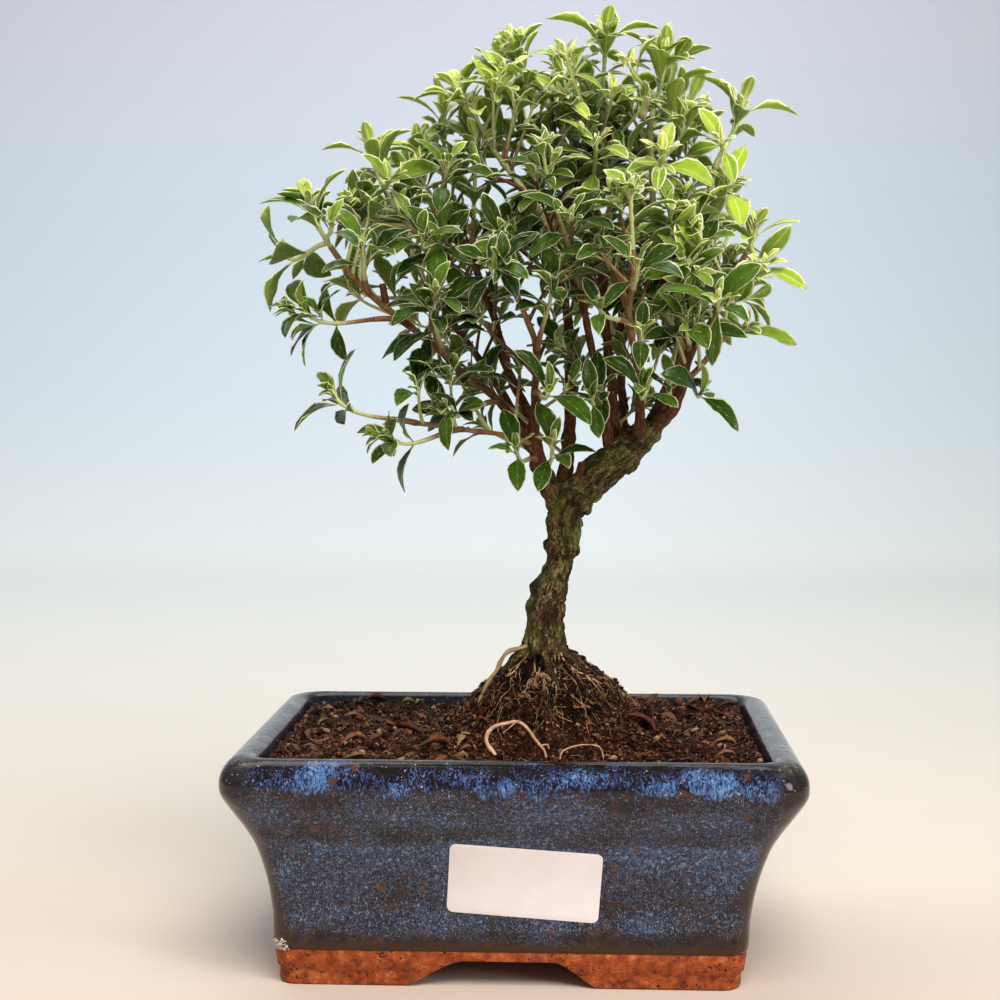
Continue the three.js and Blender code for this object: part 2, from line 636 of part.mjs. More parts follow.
function crosses(solid, others) {
  const box = solid.boundingBox();
  return others.some((other) => overlaps(box, other.box)
    && solid.intersect(other.solid).volume() > 0);
}

// Courses, wood and green stems first, so that every leaf is tested against all of them.
const courses = [];
const nodes = [];
for (const [row, [bearer, place, tip, pairs, turn, size]] of shoots.entries()) {
  const fork = bearer === '+';
  const main = nodes.at(-1)?.main;
  const from = fork ? main.green + place * (1 - main.green) : place;
  const curve = shootCurve(fork ? main.curve : limbCurves[bearer], from, tip);
  const length = curve.getLength();
  const bark = fork ? 0 : Math.min((limbRadius(bearer, place) + 1.6 + 0.2 * length) / length, 0.6);
  const green = fork ? 0 : bark + seatGap / length;
  if (!fork) {
    const twig = toSolid(bar(curve, shootRadius, bark * length > 9 ? 2 : 1, 4, 0, bark));
    nodes.push({ main: { curve, green }, wood: twig, stems: [] });
  }
  const node = nodes.at(-1);
  const joints = shootJoints(curve, green, pairs, turn, size, seeded(7919 * (row + 3)));
  const stem = stemOf(curve, green, joints);
  node.stems.push(stem);
  courses.push({ stem, node });
}

const woodParts = Object.keys(limbs).map((name) => limbSolid(name));
woodParts.push(...surfaceRoots.map((root) => surfaceRoot(root)));
woodParts.push(...nodes.map((node) => node.wood));
const wood = wasm.Manifold.union(woodParts);

const taken = [{ solid: wood, box: wood.boundingBox() }];
for (const { stem, node } of courses) {
  const solid = shootSkin({ ...stem, leaves: [] });
  taken.push({ solid, box: solid.boundingBox(), stem, node });
}
for (const { stem, node } of courses) {
  for (const leaf of stem.leaves) {
    const far = taken.filter((item) => item.node !== node);
    const near = taken.filter((item) => item.node === node && item.stem !== stem);
    const bend = bends.find((option) => !crosses(bladeSolid(leaf, option, bladeClearance), far)
      && !crosses(bladeSolid(leaf, option, siblingClearance), near));
    if (!bend) continue;
    leaf.bend = bend;
    const solid = bladeSolid(leaf, bend);
    taken.push({ solid, box: solid.boundingBox(), node });
  }
  stem.leaves = stem.leaves.filter((leaf) => leaf.bend);
}

// ---------------------------------------------------------------- assembly
const group = new THREE.Group();

function place(name, geometry, color, roughness, metalness = 0) {
  const mesh = new THREE.Mesh(
    geometry, new THREE.MeshStandardMaterial({ color, roughness, metalness }));
  mesh.name = name;
  group.add(mesh);
}

const hollows = [
  limbSolid('trunk', trunkHoleGap),
  ...surfaceRoots.map((root) => surfaceRoot(root, trunkHoleGap)),
  loopSolid(trunkHoleGap),
];
place('pot', toGeometry(makePot()), 0x2c3f5e, 0.25);
place('drain_mesh_left', toGeometry(makeDrainMesh(-1)), 0x20242a, 0.6);
place('drain_mesh_right', toGeometry(makeDrainMesh(1)), 0x20242a, 0.6);
place('label', makeLabel(), 0xf2f0ec, 0.6);
place('soil', toGeometry(makeSoil(hollows)), 0x38241b, 0.95);
place('trunk', toGeometry(wood), 0x6b5238, 0.9);
place('root_loop', toGeometry(loopSolid()), 0xc9a184, 0.7);
for (const [i, node] of nodes.entries()) {
  const name = `shoot_${String(i + 1).padStart(2, '0')}`;
  place(name, toGeometry(wasm.Manifold.union(node.stems.map(shootSkin))), 0x5f8a35, 0.5);
}

export default group;
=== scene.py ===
"""Serissa bonsai: the finish of every surface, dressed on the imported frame.

Sizes are worked out in millimetres, as in the part's source, and pieces are written in metres.
"""

import math

import bmesh
import bpy
import numpy as np
from mathutils import Matrix, Vector, kdtree, noise


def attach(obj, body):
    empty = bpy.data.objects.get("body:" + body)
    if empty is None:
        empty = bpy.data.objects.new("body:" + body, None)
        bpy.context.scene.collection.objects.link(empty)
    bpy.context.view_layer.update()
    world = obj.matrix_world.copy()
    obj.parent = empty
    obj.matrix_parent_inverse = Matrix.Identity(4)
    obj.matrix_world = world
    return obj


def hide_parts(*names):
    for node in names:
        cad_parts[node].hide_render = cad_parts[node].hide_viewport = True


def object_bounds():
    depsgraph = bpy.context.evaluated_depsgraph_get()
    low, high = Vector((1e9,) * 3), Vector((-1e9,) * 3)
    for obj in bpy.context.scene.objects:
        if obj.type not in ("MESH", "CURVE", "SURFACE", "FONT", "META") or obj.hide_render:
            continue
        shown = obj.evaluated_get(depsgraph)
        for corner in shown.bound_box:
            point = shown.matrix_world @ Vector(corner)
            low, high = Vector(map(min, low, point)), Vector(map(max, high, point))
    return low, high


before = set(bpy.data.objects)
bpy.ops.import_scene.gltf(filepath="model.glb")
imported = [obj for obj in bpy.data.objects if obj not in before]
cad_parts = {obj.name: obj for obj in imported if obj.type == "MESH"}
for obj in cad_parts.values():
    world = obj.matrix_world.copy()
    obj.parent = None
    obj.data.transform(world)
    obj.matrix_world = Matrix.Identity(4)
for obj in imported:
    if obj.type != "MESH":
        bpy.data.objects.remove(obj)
cad_box = [list(corner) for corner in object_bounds()]

MM = 0.001

# ---------------------------------------------------------------- sizes, in millimetres
POT_WIDTH, POT_DEPTH, POT_HEIGHT = 173, 130, 70.6
POT_CORNER, POT_LEAN = 11, 1.6
CORNER_X, CORNER_Y = POT_WIDTH / 2 - POT_CORNER, POT_DEPTH / 2 - POT_CORNER
FLOOR, UNDERSIDE = 15, 9
FOOT_INSET, FOOT_WALL = 17, 9
GLAZE_LINE = 11.3
FOOT_PROFILE = [
    (17.8, 0), (17.2, 0.5), (17, 1.4), (17.05, 4), (16.8, 4.7), (16.2, 5.4), (15.9, 8), (15.6, 10.2),
    (15.7, 10.8), (15.9, 11.1),
]
WALL_PROFILE = [
    (15.5, 11.5), (15.1, 13.2), (14.7, 22), (13.1, 32), (10.2, 42), (7.3, 48), (3.6, 54), (0.7, 59),
    (0, 62), (0.3, 65), (1.4, 67.5), (3.4, 69.7), (6.4, POT_HEIGHT), (9, 70), (10.6, 67.6), (12, 60),
]
INSIDE_PROFILE = [(15.6, 50), (20.5, 36), (22, 22), (24, FLOOR)]
FRONT_ARCH = {"height": 8.3, "half": 13, "left": 33, "right": 28.5}
SIDE_ARCH = {"height": 8.3, "half": 8, "left": 19, "right": 19}
DRAIN_SPACING, DRAIN_RADIUS = 70, 8
SOIL_LEVEL = 67
MOUND = {"x": 9, "y": 0, "left": 28, "right": 35, "depth": 33}
# Height of the mound at shares of its reach, and how much further it runs to the left and the back.
MOUND_PROFILE = [
    (0, 30), (0.13, 29.5), (0.25, 25.5), (0.4, 21.3), (0.55, 17.9), (0.7, 13.5), (0.85, 8.2),
    (1, 4), (1.25, 0),
]
MOUND_SPREAD = 1.15
LABEL = {"width": 45, "height": 22, "thick": 0.16, "corner": 2, "x": 3.4, "z": 33.2, "tilt": -4}
SEAT_GAP = 0.3
# How far the soil's edge lies inside the pot's outline, then insets and heights down its side.
SOIL_INSET = 11.75
SOIL_SIDE = [(11.8, 62), (20.9, 36), (24.4, FLOOR + SEAT_GAP)]
# The ground in front of the mound that no loose bit covers: its middle and half width, and its depth.
CLEARING = {"x": 3, "half": 16, "from": -44, "to": -24}
# How many of each loose thing there are. Hairs lie anywhere, and foot hairs round the trunk's foot.
CRUMBS, CHIPS, HAIRS, FOOT_HAIRS, LOOSE_LEAVES, LIME_SCABS = 9600, 190, 260, 80, 60, 420
BLADE_RATIO = 0.43
LEAF_ROOT = 0.8
STEM_BASE, STEM_TIP = 0.95, 0.5
TURN = 6.28  # a full turn, in radians, for angles that are drawn

# ---------------------------------------------------------------- how the plant is laid out
# Woody limbs: x, y, z and radius at the points that each passes through.
LIMBS = {
    "trunk": [
        [8, 0, 74, 7.6], [8, 0, 88, 7.1], [8, 0, 98, 6.3], [9, 0, 109, 5.1], [11, 0, 117, 4.5],
        [13, 0, 125, 4.3], [14, 0, 132, 4.8], [15, 0, 140, 5.3], [19, 0, 145, 5.6],
        [25, 0, 151, 5.7], [32, 0, 157, 5.2], [39, 0, 163, 4.4], [42, 0, 167, 3.4],
    ],
    "leftFork": [[13, 0, 140, 3.6], [9, 0, 148, 2.9], [6, 0, 155, 2.4], [5, 0, 162, 1.9]],
    "leftTall": [
        [6, 1, 158, 1.9], [2, 4, 172, 1.9], [-4, 8, 184, 1.8], [-8, 12, 199, 1.6],
        [-13, 15, 213, 1.5], [-18, 18, 224, 1.3], [-25, 22, 238, 1.2],
    ],
    "leftWide": [
        [6, -1, 156, 1.6], [-5, -5, 173, 1.3], [-19, -9, 185, 1.3], [-30, -13, 195, 1.2],
        [-45, -17, 207, 1.1], [-54, -20, 217, 1],
    ],
    "leftLow": [[4, -2, 161, 1], [-4, -9, 164, 0.95], [-17, -15, 166, 0.95], [-31, -21, 168, 0.95]],
    "leftInner": [
        [-12, 15, 210, 1.2], [-19, 8, 216, 1.1], [-27, 2, 222, 1], [-34, -4, 229, 1],
        [-39, -8, 235, 0.95],
    ],
    "middle": [
        [5, -1, 159, 1.5], [5, -11, 177, 1.4], [6, -17, 190, 1.2], [2, -21, 202, 1.1],
        [-3, -24, 213, 0.95],
    ],
    "behind": [
        [14, 1, 146, 2.4], [16, 12, 168, 2.5], [16, 18, 183, 2.4], [15, 26, 202, 1.8],
        [13, 34, 219, 1.5], [12, 42, 238, 1.2],
    ],
    "backLeft": [
        [9, 1, 150, 1.9], [-3, 13, 172, 1.7], [-17, 26, 192, 1.5], [-31, 36, 211, 1.2],
        [-40, 42, 226, 1],
    ],
    "frontMid": [
        [29, -1, 156, 1.7], [26, -7, 178, 1.4], [22, -10, 195, 1.4], [19, -13, 210, 1.3],
        [16, -17, 220, 1],
    ],
    "frontLeft": [
        [20, -12, 205, 1.3], [14, -8, 219, 1.3], [6, -4, 235, 1.2], [-2, -1, 246, 1.1],
        [-8, 1, 254, 1.1], [-13, 3, 262, 1],
    ],
    "centre": [
        [30, 1, 156, 2], [30, 8, 175, 2], [28, 12, 194, 1.8], [26, 15, 217, 1.6],
        [27, 16, 229, 1.5], [22, 19, 243, 1.4], [16, 22, 261, 1.1],
    ],
    "centreTall": [[26, 15, 226, 1.2], [29, 9, 239, 1.1], [27, 6, 252, 1], [26, 4, 264, 0.95]],
    "backCentre": [
        [34, 2, 158, 2], [33, 20, 178, 1.8], [33, 34, 200, 1.5], [33, 44, 222, 1.2],
    ],
    "frontRight": [
        [38, -1, 162, 2], [38, -14, 177, 1.6], [36, -24, 189, 1.3], [34, -30, 200, 1.1],
        [35, -35, 213, 0.95],
    ],
    "rightTall": [
        [41, 0, 164, 2.4], [48, 6, 181, 2.1], [51, 8, 193, 1.9], [47, 6, 207, 1.6],
        [43, 3, 226, 1.3], [42, 1, 245, 1.2], [41, 0, 261, 1.05],
    ],
    "rightWide": [
        [40, 0, 164, 2.4], [49, -4, 173, 2.1], [52, -6, 183, 1.7], [53, -7, 190, 1.6],
        [59, -10, 198, 1.4], [63, -12, 207, 1.1], [68, -14, 216, 1],
    ],
    "rightTwig": [[52, -6, 180, 1.2], [58, -8, 187, 1.1], [66, -12, 197, 0.95]],
    "rightUp": [
        [53, -6, 188, 1.5], [56, -2, 205, 1.4], [53, 2, 219, 1.3], [54, 3, 226, 1.3],
        [59, 5, 238, 1.2], [62, 7, 249, 1.05],
    ],
    "backRight": [[43, 1, 166, 2.2], [52, 14, 181, 1.8], [58, 26, 198, 1.5], [62, 36, 214, 1.2]],
}
# Leafy shoots: limb (or + to fork off the last shoot named by its limb), place along it, tip, pairs
# of leaves, turn of the first pair in degrees, and size of the leaves.
SHOOTS = [
    ("leftWide", 1, [-63, -26, 234], 3, 90, 1.15),
    ("+", 0.1, [-55, -36, 227], 2, 60, 0.9),
    ("+", 0.05, [-71, -20, 219], 3, 90, 1.3),
    ("leftWide", 0.82, [-46, -32, 221], 3, 40, 1.1),
    ("leftWide", 0.68, [-64, -32, 202], 4, 60, 1.1),
    ("leftWide", 0.43, [-25, -30, 201], 3, 30, 1),
    ("leftWide", 0.22, [-22, -26, 172], 3, 30, 0.95),
    ("leftLow", 1, [-55, -30, 176], 3, 75, 1.15),
    ("leftLow", 0.67, [-38, -32, 164], 2, 70, 1.1),
    ("leftInner", 1, [-47, -4, 254], 3, 90, 1),
    ("+", 0.15, [-40, -18, 242], 2, 45, 0.95),
    ("leftInner", 0.5, [-29, -24, 224], 2, 80, 1),
    ("leftTall", 1, [-25, 12, 267], 3, 80, 1.2),
    ("+", 0.15, [-33, 16, 256], 3, 40, 1),
    ("+", 0.1, [-34, 38, 256], 3, 20, 1),
    ("leftTall", 0.74, [-14, 2, 257], 3, 60, 1),
    ("leftTall", 0.47, [-17, -8, 205], 2, 10, 1),
    ("frontLeft", 1, [-20, 2, 273], 3, 65, 1.1),
    ("frontLeft", 0.6, [-9, 18, 271], 2, 50, 0.9),
    ("frontLeft", 0.4, [-5, -26, 225], 3, 30, 1.1),
    ("middle", 1, [-7, -42, 215], 3, 60, 1),
    ("middle", 0.5, [11, -34, 209], 3, 0, 1.05),
    ("middle", 0.25, [10, -38, 178], 2, 50, 1.1),
    ("behind", 1, [4, 46, 262], 3, 0, 1),
    ("+", 0.2, [24, 50, 256], 2, 45, 1),
    ("behind", 0.7, [-6, 50, 236], 3, 30, 1),
    ("backLeft", 1, [-48, 42, 240], 3, 0, 1),
    ("+", 0.2, [-32, 52, 238], 2, 30, 0.95),
    ("backLeft", 0.7, [-58, 26, 214], 3, 20, 1),
    ("backLeft", 0.55, [-14, 50, 208], 3, 60, 1),
    ("centre", 1, [-3, 14, 288], 3, 90, 1.05),
    ("+", 0.12, [13, -4, 270], 2, 45, 0.85),
    ("+", 0.1, [14, 38, 276], 3, 30, 1),
    ("centre", 0.78, [24, -12, 254], 2, 30, 0.9),
    ("centreTall", 1, [27, 2, 290], 3, 90, 1.25),
    ("centreTall", 0.7, [15, -10, 281], 3, 60, 0.95),
    ("frontMid", 1, [8, -30, 250], 4, 0, 0.85),
    ("frontMid", 0.25, [23, -28, 175], 2, 20, 1),
    ("backCentre", 1, [38, 49, 248], 3, 0, 1),
    ("+", 0.2, [54, 48, 236], 3, 45, 1),
    ("backCentre", 0.6, [26, 52, 212], 3, 30, 1),
    ("frontRight", 1, [34, -42, 235], 3, 0, 1.05),
    ("frontRight", 0.86, [36, -51, 214], 3, 45, 1),
    ("frontRight", 0.7, [25, -42, 202], 2, 20, 0.9),
    ("frontRight", 0.5, [37, -50, 194], 2, 0, 0.9),
    ("frontRight", 0.25, [38, -40, 178], 2, 60, 1),
    ("rightTall", 1, [46, 4, 282], 3, 75, 1.3),
    ("+", 0.1, [35, -4, 279], 2, 60, 0.95),
    ("+", 0.1, [55, 20, 272], 3, 10, 1),
    ("rightTall", 0.68, [47, -18, 232], 3, 20, 1.1),
    ("rightTall", 0.84, [44, -20, 249], 2, 0, 1),
    ("rightUp", 1, [71, 10, 269], 3, 90, 1.15),
    ("+", 0.1, [63, -10, 254], 2, 20, 0.9),
    ("rightUp", 0.8, [65, -8, 241], 2, 0, 1.1),
    ("rightUp", 0.35, [52, -28, 215], 3, 40, 1),
    ("rightWide", 1, [73, -18, 227], 3, 90, 1.15),
    ("+", 0.16, [74, -28, 215], 3, 80, 1),
    ("rightWide", 0.78, [60, -38, 204], 3, 70, 1.1),
    ("rightTwig", 1, [69, -18, 196], 2, 80, 1.1),
    ("rightWide", 0.35, [56, -24, 177], 2, 60, 1.2),
    ("rightWide", 0.5, [51, -32, 198], 2, 20, 1),
    ("backRight", 1, [70, 44, 234], 3, 0, 1),
    ("backRight", 0.75, [76, 26, 214], 3, 30, 1),
    ("leftFork", 0.67, [0, -24, 159], 2, 20, 0.95),
    ("leftFork", 0.34, [11, -27, 161], 3, 30, 1.05),
]
# Pairs of leaves, from the tip down: distance to the pair before, length and tilt in degrees.
LEAF_PAIRS = [
    [0.6, 9, 28], [2.2, 14.5, 52], [4.2, 15, 66], [5.6, 14, 76], [6.4, 12, 84],
]
# The turns and shortenings that keep a leaf clear of its neighbours.
BENDS = [[0, 1], [22, 1], [-22, 1], [44, 0.9], [-44, 0.9], [12, 0.7], [-30, 0.65]]
# Surface roots in plan, with their first radius.
SURFACE_ROOTS = [
    (1.7, [[2, -2], [-5, -5], [-9, -11], [-14, -12], [-17, -20]]),
    (1.5, [[13, -3], [20, -5], [23, -13], [31, -13], [33, -21]]),
    (1.3, [[8, -6], [11, -14], [17, -17], [19, -26]]),
    (1.5, [[12, 4], [16, 12], [26, 13], [30, 22]]),
]
# The bare root in front of the mound, from leg to leg.
ROOT_LOOP = [
    [-4.5, -38, 62], [-5.5, -38, 67], [-9, -34, 72], [-6, -30, 75.5], [-1, -28, 76.5],
    [2.8, -30, 75.6], [5, -32, 73], [7.2, -34.5, 70.8], [9.2, -37, 68.4], [10, -38.5, 62],
]
# The small arch to the right of it.
ROOT_ARCH = [
    [13.5, -40, 66.5], [14.5, -40, 70], [19, -39, 71.4], [24, -39, 71.6], [26, -40, 70.4], [27, -41, 66],
]
# The root that leaves the trunk's foot in the air and comes down on the mound.
FREE_ROOT = [
    [5, -2, 97.5], [1, -4.5, 96.6], [-3.2, -6, 95.6], [-5.4, -7, 93.2], [-7, -8, 89.8], [-9.4, -9, 86.6],
    [-11.4, -10.5, 82.6], [-12.4, -12, 79], [-13, -13, 74],
]


# ---------------------------------------------------------------- curves and chance
def seeded(seed):
    """Draws between 0 and 1 that are the same each run."""
    state = seed

    def draw():
        nonlocal state
        state = (state * 16807) % 2147483647
        return state / 2147483647

    return draw


def unit(vector):
    """The vector at length 1."""
    return vector / np.linalg.norm(vector)


def through(points):
    """A smooth course through points, read at places from 0 to 1."""
    points = [np.array(p[:3], float) for p in points]
    padded = [2 * points[0] - points[1], *points, 2 * points[-1] - points[-2]]

    def at(place):
        spot = place * (len(points) - 1)
        low = min(int(spot), len(points) - 2)
        w = spot - low
        before, a, b, after = padded[low:low + 4]
        start, end = (b - before) / 2, (after - a) / 2
        return ((2 * a - 2 * b + start + end) * w ** 3
                + (-3 * a + 3 * b - 2 * start - end) * w ** 2 + start * w + a)

    return at


def heading(course, place):
    """The way that a course runs at a place."""
    return unit(course(min(place + 1e-4, 1)) - course(max(place - 1e-4, 0)))


def length_of(course, steps=200):
    """The length of a course, measured over straight steps."""
    spots = [course(i / steps) for i in range(steps + 1)]
    return sum(np.linalg.norm(b - a) for a, b in zip(spots, spots[1:]))


def smoothstep(low, high, value):
    """Rises smoothly from 0 at low to 1 at high, or the other way where low is the greater."""
    share = min(max((value - low) / (high - low), 0), 1)
    return share * share * (3 - 2 * share)


def ripple(x, y, z, scale, seed=0.0):
    """Smooth noise from -1 to 1 at a point in millimetres, with waves of the given size."""
    return noise.noise(Vector((x / scale + seed, y / scale - seed, z / scale + 2 * seed)))


UP = np.array([0.0, 0.0, 1.0])
LIMB_COURSES = {name: through(points) for name, points in LIMBS.items()}
SLENDER = list(LIMBS)[2:]  # all limbs but the trunk and its fork
SLIMMED = 0.86  # their radius as a share of the table's


def limb_radius(name, place):
    """Radius of a limb at a place along it."""
    points = LIMBS[name]
    spot = place * (len(points) - 1)
    low = min(int(spot), len(points) - 2)
    return points[low][3] + (points[low + 1][3] - points[low][3]) * (spot - low)


# ---------------------------------------------------------------- making meshes
def finished(name, mesh, materials, replaced=(), sharp=None):
    """Turns a mesh in millimetres into a piece of the object."""
    mesh.transform(Matrix.Scale(MM, 4))
    mesh.name = name
    for material in materials:
        mesh.materials.append(material)
    mesh.shade_smooth()
    if sharp is not None:
        mesh.set_sharp_from_angle(angle=math.radians(sharp))
    piece = bpy.data.objects.new(name, mesh)
    bpy.context.scene.collection.objects.link(piece)
    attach(piece, "root")
    if replaced:
        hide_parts(*replaced)
    return piece


def mesh_of(bm, name="made"):
    """The mesh that bm holds, which is freed."""
    mesh = bpy.data.meshes.new(name)
    bm.to_mesh(mesh)
    bm.free()
    return mesh


def with_modifiers(mesh, *steps):
    """The mesh after modifiers, each given as its kind and its settings."""
    worker = bpy.data.objects.new("worker", mesh)
    bpy.context.scene.collection.objects.link(worker)
    for kind, settings in steps:
        modifier = worker.modifiers.new(kind, kind)
        for key, value in settings.items():
            setattr(modifier, key, value)
    worker.update_tag()
    bpy.context.view_layer.update()
    made = bpy.data.meshes.new_from_object(worker.evaluated_get(bpy.context.evaluated_depsgraph_get()))
    bpy.data.objects.remove(worker)
    return made


def cut(mesh, *cutters):
    """The mesh less each cutter."""
    for cutter in cutters:
        tool = bpy.data.objects.new("cutter", cutter)
        bpy.context.scene.collection.objects.link(tool)
        mesh = with_modifiers(mesh, ("BOOLEAN", {"operation": "DIFFERENCE", "object": tool}))
        bpy.data.objects.remove(tool)
    return mesh


def tubes(paths, roundness):
    """Closed round bars along paths of (point, radius), as one mesh; 4 + 2 * roundness sides."""
    curve = bpy.data.curves.new("bars", "CURVE")
    curve.dimensions = "3D"
    curve.bevel_depth = 1
    curve.bevel_resolution = roundness
    curve.use_fill_caps = True
    for path in paths:
        spline = curve.splines.new("POLY")
        spline.points.add(len(path) - 1)
        for point, (spot, radius) in zip(spline.points, path):
            point.co = (*spot, 1)
            point.radius = radius
    worker = bpy.data.objects.new("bars", curve)
    mesh = bpy.data.meshes.new_from_object(worker)
    bpy.data.objects.remove(worker)
    mesh.materials.clear()
    return mesh


def write(mesh, name, values, kind="FLOAT"):
    """Keeps a value for each vertex in the mesh, for a material to read."""
    store = mesh.attributes.get(name) or mesh.attributes.new(name, kind, "POINT")
    field = "value" if kind == "FLOAT" else "vector"
    store.data.foreach_set(field, np.asarray(values, np.float32).ravel())


def points_of(mesh, field="co"):
    """The places of a mesh's vertices, or another vector of theirs, one row each."""
    spots = np.empty(len(mesh.vertices) * 3, np.float32)
    mesh.vertices.foreach_get(field, spots)
    return spots.reshape(-1, 3).astype(float)


def thicken(bm, offset):
    """Makes the sheet a closed solid, its second side moved by an offset."""
    made = bmesh.ops.extrude_face_region(bm, geom=bm.faces[:])["geom"]
    bmesh.ops.translate(bm, verts=[v for v in made if isinstance(v, bmesh.types.BMVert)], vec=offset)
    bmesh.ops.recalc_face_normals(bm, faces=bm.faces)


def template_of(make):
    """A small mesh to be stamped many times."""
    bm = bmesh.new()
    make(bm)
    return mesh_of(bm, "template")


def ball():
    """The template of a rough ball of radius 1, and its points."""
    mesh = template_of(lambda bm: bmesh.ops.create_icosphere(bm, subdivisions=1, radius=1))
    return mesh, points_of(mesh)


def stamp(bm, template, spots, **values):
    """Adds a copy of the template with its points moved to spots."""
    template.vertices.foreach_set("co", np.asarray(spots, np.float32).ravel())
    for name, value in values.items():
        write(template, name, np.broadcast_to(value, len(template.vertices)))
    bm.from_mesh(template)


def turned(shape, draw, lean=1.0):
    """The shape turned freely about Z and tipped by up to lean radians."""
    turn = Matrix.Rotation(2 * math.pi * draw(), 3, "Z")
    tip = Matrix.Rotation(lean * (draw() - 0.5), 3, "X") @ Matrix.Rotation(lean * (draw() - 0.5), 3, "Y")
    return shape @ np.array(turn @ tip).T


# ---------------------------------------------------------------- materials
def srgb(code):
    """A colour code such as #2F5A26, as the linear colour that a shader takes."""
    parts = [int(code[i:i + 2], 16) / 255 for i in (1, 3, 5)]
    return tuple(c / 12.92 if c <= 0.04045 else ((c + 0.055) / 1.055) ** 2.4 for c in parts) + (1.0,)


# The output that a node passes on when it's given whole; every other kind passes on its first.
MAIN_OUTPUT = {"ShaderNodeMix": 2, "ShaderNodeAttribute": "Fac", "ShaderNodeTexCoord": "Object"}
SMOOTH = {"interpolation_type": "SMOOTHSTEP"}


def wire(node, inputs):
    """Sets a node's inputs to values or colour codes, or links them to sockets or to other nodes."""
    for key, value in dict(inputs).items():
        if isinstance(value, str):
            value = srgb(value)
        if isinstance(value, bpy.types.Node):
            value = value.outputs[MAIN_OUTPUT.get(value.bl_idname, 0)]
        if isinstance(value, bpy.types.NodeSocket):
            node.id_data.links.new(value, node.inputs[key])
        else:
            node.inputs[key].default_value = value


def add(tree, kind, inputs=(), ramp=(), **settings):
    """Adds a node with its settings, its values and links, and the stops of its ramp.

    Inputs go by name or number. Mix has its share at 0 and its colours at 6 and 7; MapRange has
    the range it reads at 1 and 2, and the range it gives at 3 and 4.
    """
    node = tree.nodes.new("ShaderNode" + kind)
    if kind == "Mix":
        node.data_type = "RGBA"
    for key, value in settings.items():
        setattr(node, key, value)
    wire(node, inputs)
    for i, (place, colour) in enumerate(ramp):
        elements = node.color_ramp.elements
        stop = elements[i] if i < 2 else elements.new(place)
        stop.position = place
        stop.color = srgb(colour) if isinstance(colour, str) else (colour, colour, colour, 1)
    return node


def new_material(name):
    """An empty material with a Principled shader; returns it, its tree and the shader."""
    material = bpy.data.materials.new(name)
    material.use_nodes = True
    return material, material.node_tree, material.node_tree.nodes["Principled BSDF"]


def millimetres(tree):
    """The place on the object, in millimetres."""
    return add(tree, "Mapping", {0: add(tree, "TexCoord"), "Scale": (1000, 1000, 1000)})


def layered(tree, colour, *layers):
    """A colour with others laid over it one by one, each given with its share."""
    for share, over in layers:
        colour = add(tree, "Mix", {0: share, 6: colour, 7: over})
    return colour


def grained(name, pattern, stops, relief, inputs, blend=None):
    """A material whose relief and colour follow one noise, with the settings in pattern.

    relief is the bump's strength and its depth in metres. blend names an attribute that the colour
    follows as well, with the weights of the noise and the attribute and what is added to them.
    """
    material, tree, shader = new_material(name)
    grain = tone = add(tree, "TexNoise", {"Vector": millimetres(tree), **pattern})
    if blend:
        attribute, grain_weight, weight, offset = blend
        tone = add(tree, "Math", {0: grain, 1: grain_weight, 2: offset}, operation="MULTIPLY_ADD")
        kept = add(tree, "Attribute", attribute_name=attribute)
        tone = add(tree, "Math", {0: kept, 1: weight, 2: tone}, operation="MULTIPLY_ADD")
    colour = add(tree, "ValToRGB", {0: tone}, ramp=stops)
    bump = add(tree, "Bump", {"Height": grain, "Strength": relief[0], "Distance": relief[1]})
    wire(shader, {"Base Color": colour, "Normal": bump, **inputs})
    return material


def glaze_wall(tree, mm, z, clouds):
    """Blue specks, 0.3 to 0.6 mm, over brown-black, in level bands; returns the coat and the specks."""
    wide = add(tree, "Mapping", {0: mm, "Scale": (0.02, 0.02, 0.11)})
    drift = add(tree, "TexNoise", {"Vector": wide, "Scale": 1, "Detail": 2})
    drift = add(tree, "Math", {0: drift, 1: 0.5}, operation="SUBTRACT")
    level = add(tree, "Math", {0: drift, 1: 16.0, 2: z}, operation="MULTIPLY_ADD")
    level = add(tree, "Math", {0: level, 1: 72}, operation="DIVIDE")
    share = add(tree, "ValToRGB", {0: level}, ramp=[
        (0.15, 0.0), (0.2, 0.1), (0.25, 0.36), (0.3, 0.46), (0.36, 0.3), (0.45, 0.4), (0.55, 0.46),
        (0.6, 0.6), (0.65, 0.34), (0.7, 0.3), (0.75, 0.46), (0.8, 0.34), (0.84, 0.26)])
    cloudy = add(tree, "Math", {0: clouds, 1: 0.8, 2: -0.385}, operation="MULTIPLY_ADD")
    share = add(tree, "Math", {0: share, 1: cloudy}, operation="ADD")
    upright = add(tree, "Mapping", {0: mm, "Scale": (1, 1, 0.6)})
    specks = add(tree, "TexNoise", {"Vector": upright, "Scale": 3.3, "Detail": 2, "Roughness": 0.6})
    bar = add(tree, "Math", {0: share, 1: -0.36, 2: 0.67}, operation="MULTIPLY_ADD")
    over = add(tree, "Math", {0: specks, 1: bar}, operation="SUBTRACT")
    blue_here = add(tree, "MapRange", {0: over, 1: -0.02, 2: 0.05}, **SMOOTH)
    tints = add(tree, "TexNoise", {"Vector": mm, "Scale": 0.9, "Detail": 2})
    blues = add(tree, "ValToRGB", {0: tints}, ramp=[
        (0.3, "#2f3b58"), (0.45, "#3f5174"), (0.58, "#577093"), (0.72, "#879fb4")])
    depth = add(tree, "TexNoise", {"Vector": mm, "Scale": 0.35, "Detail": 3})
    body = add(tree, "ValToRGB", {0: depth}, ramp=[
        (0.35, "#140d0f"), (0.5, "#241816"), (0.64, "#36231b"), (0.76, "#50331d")])
    return layered(tree, body, (blue_here, blues)), specks


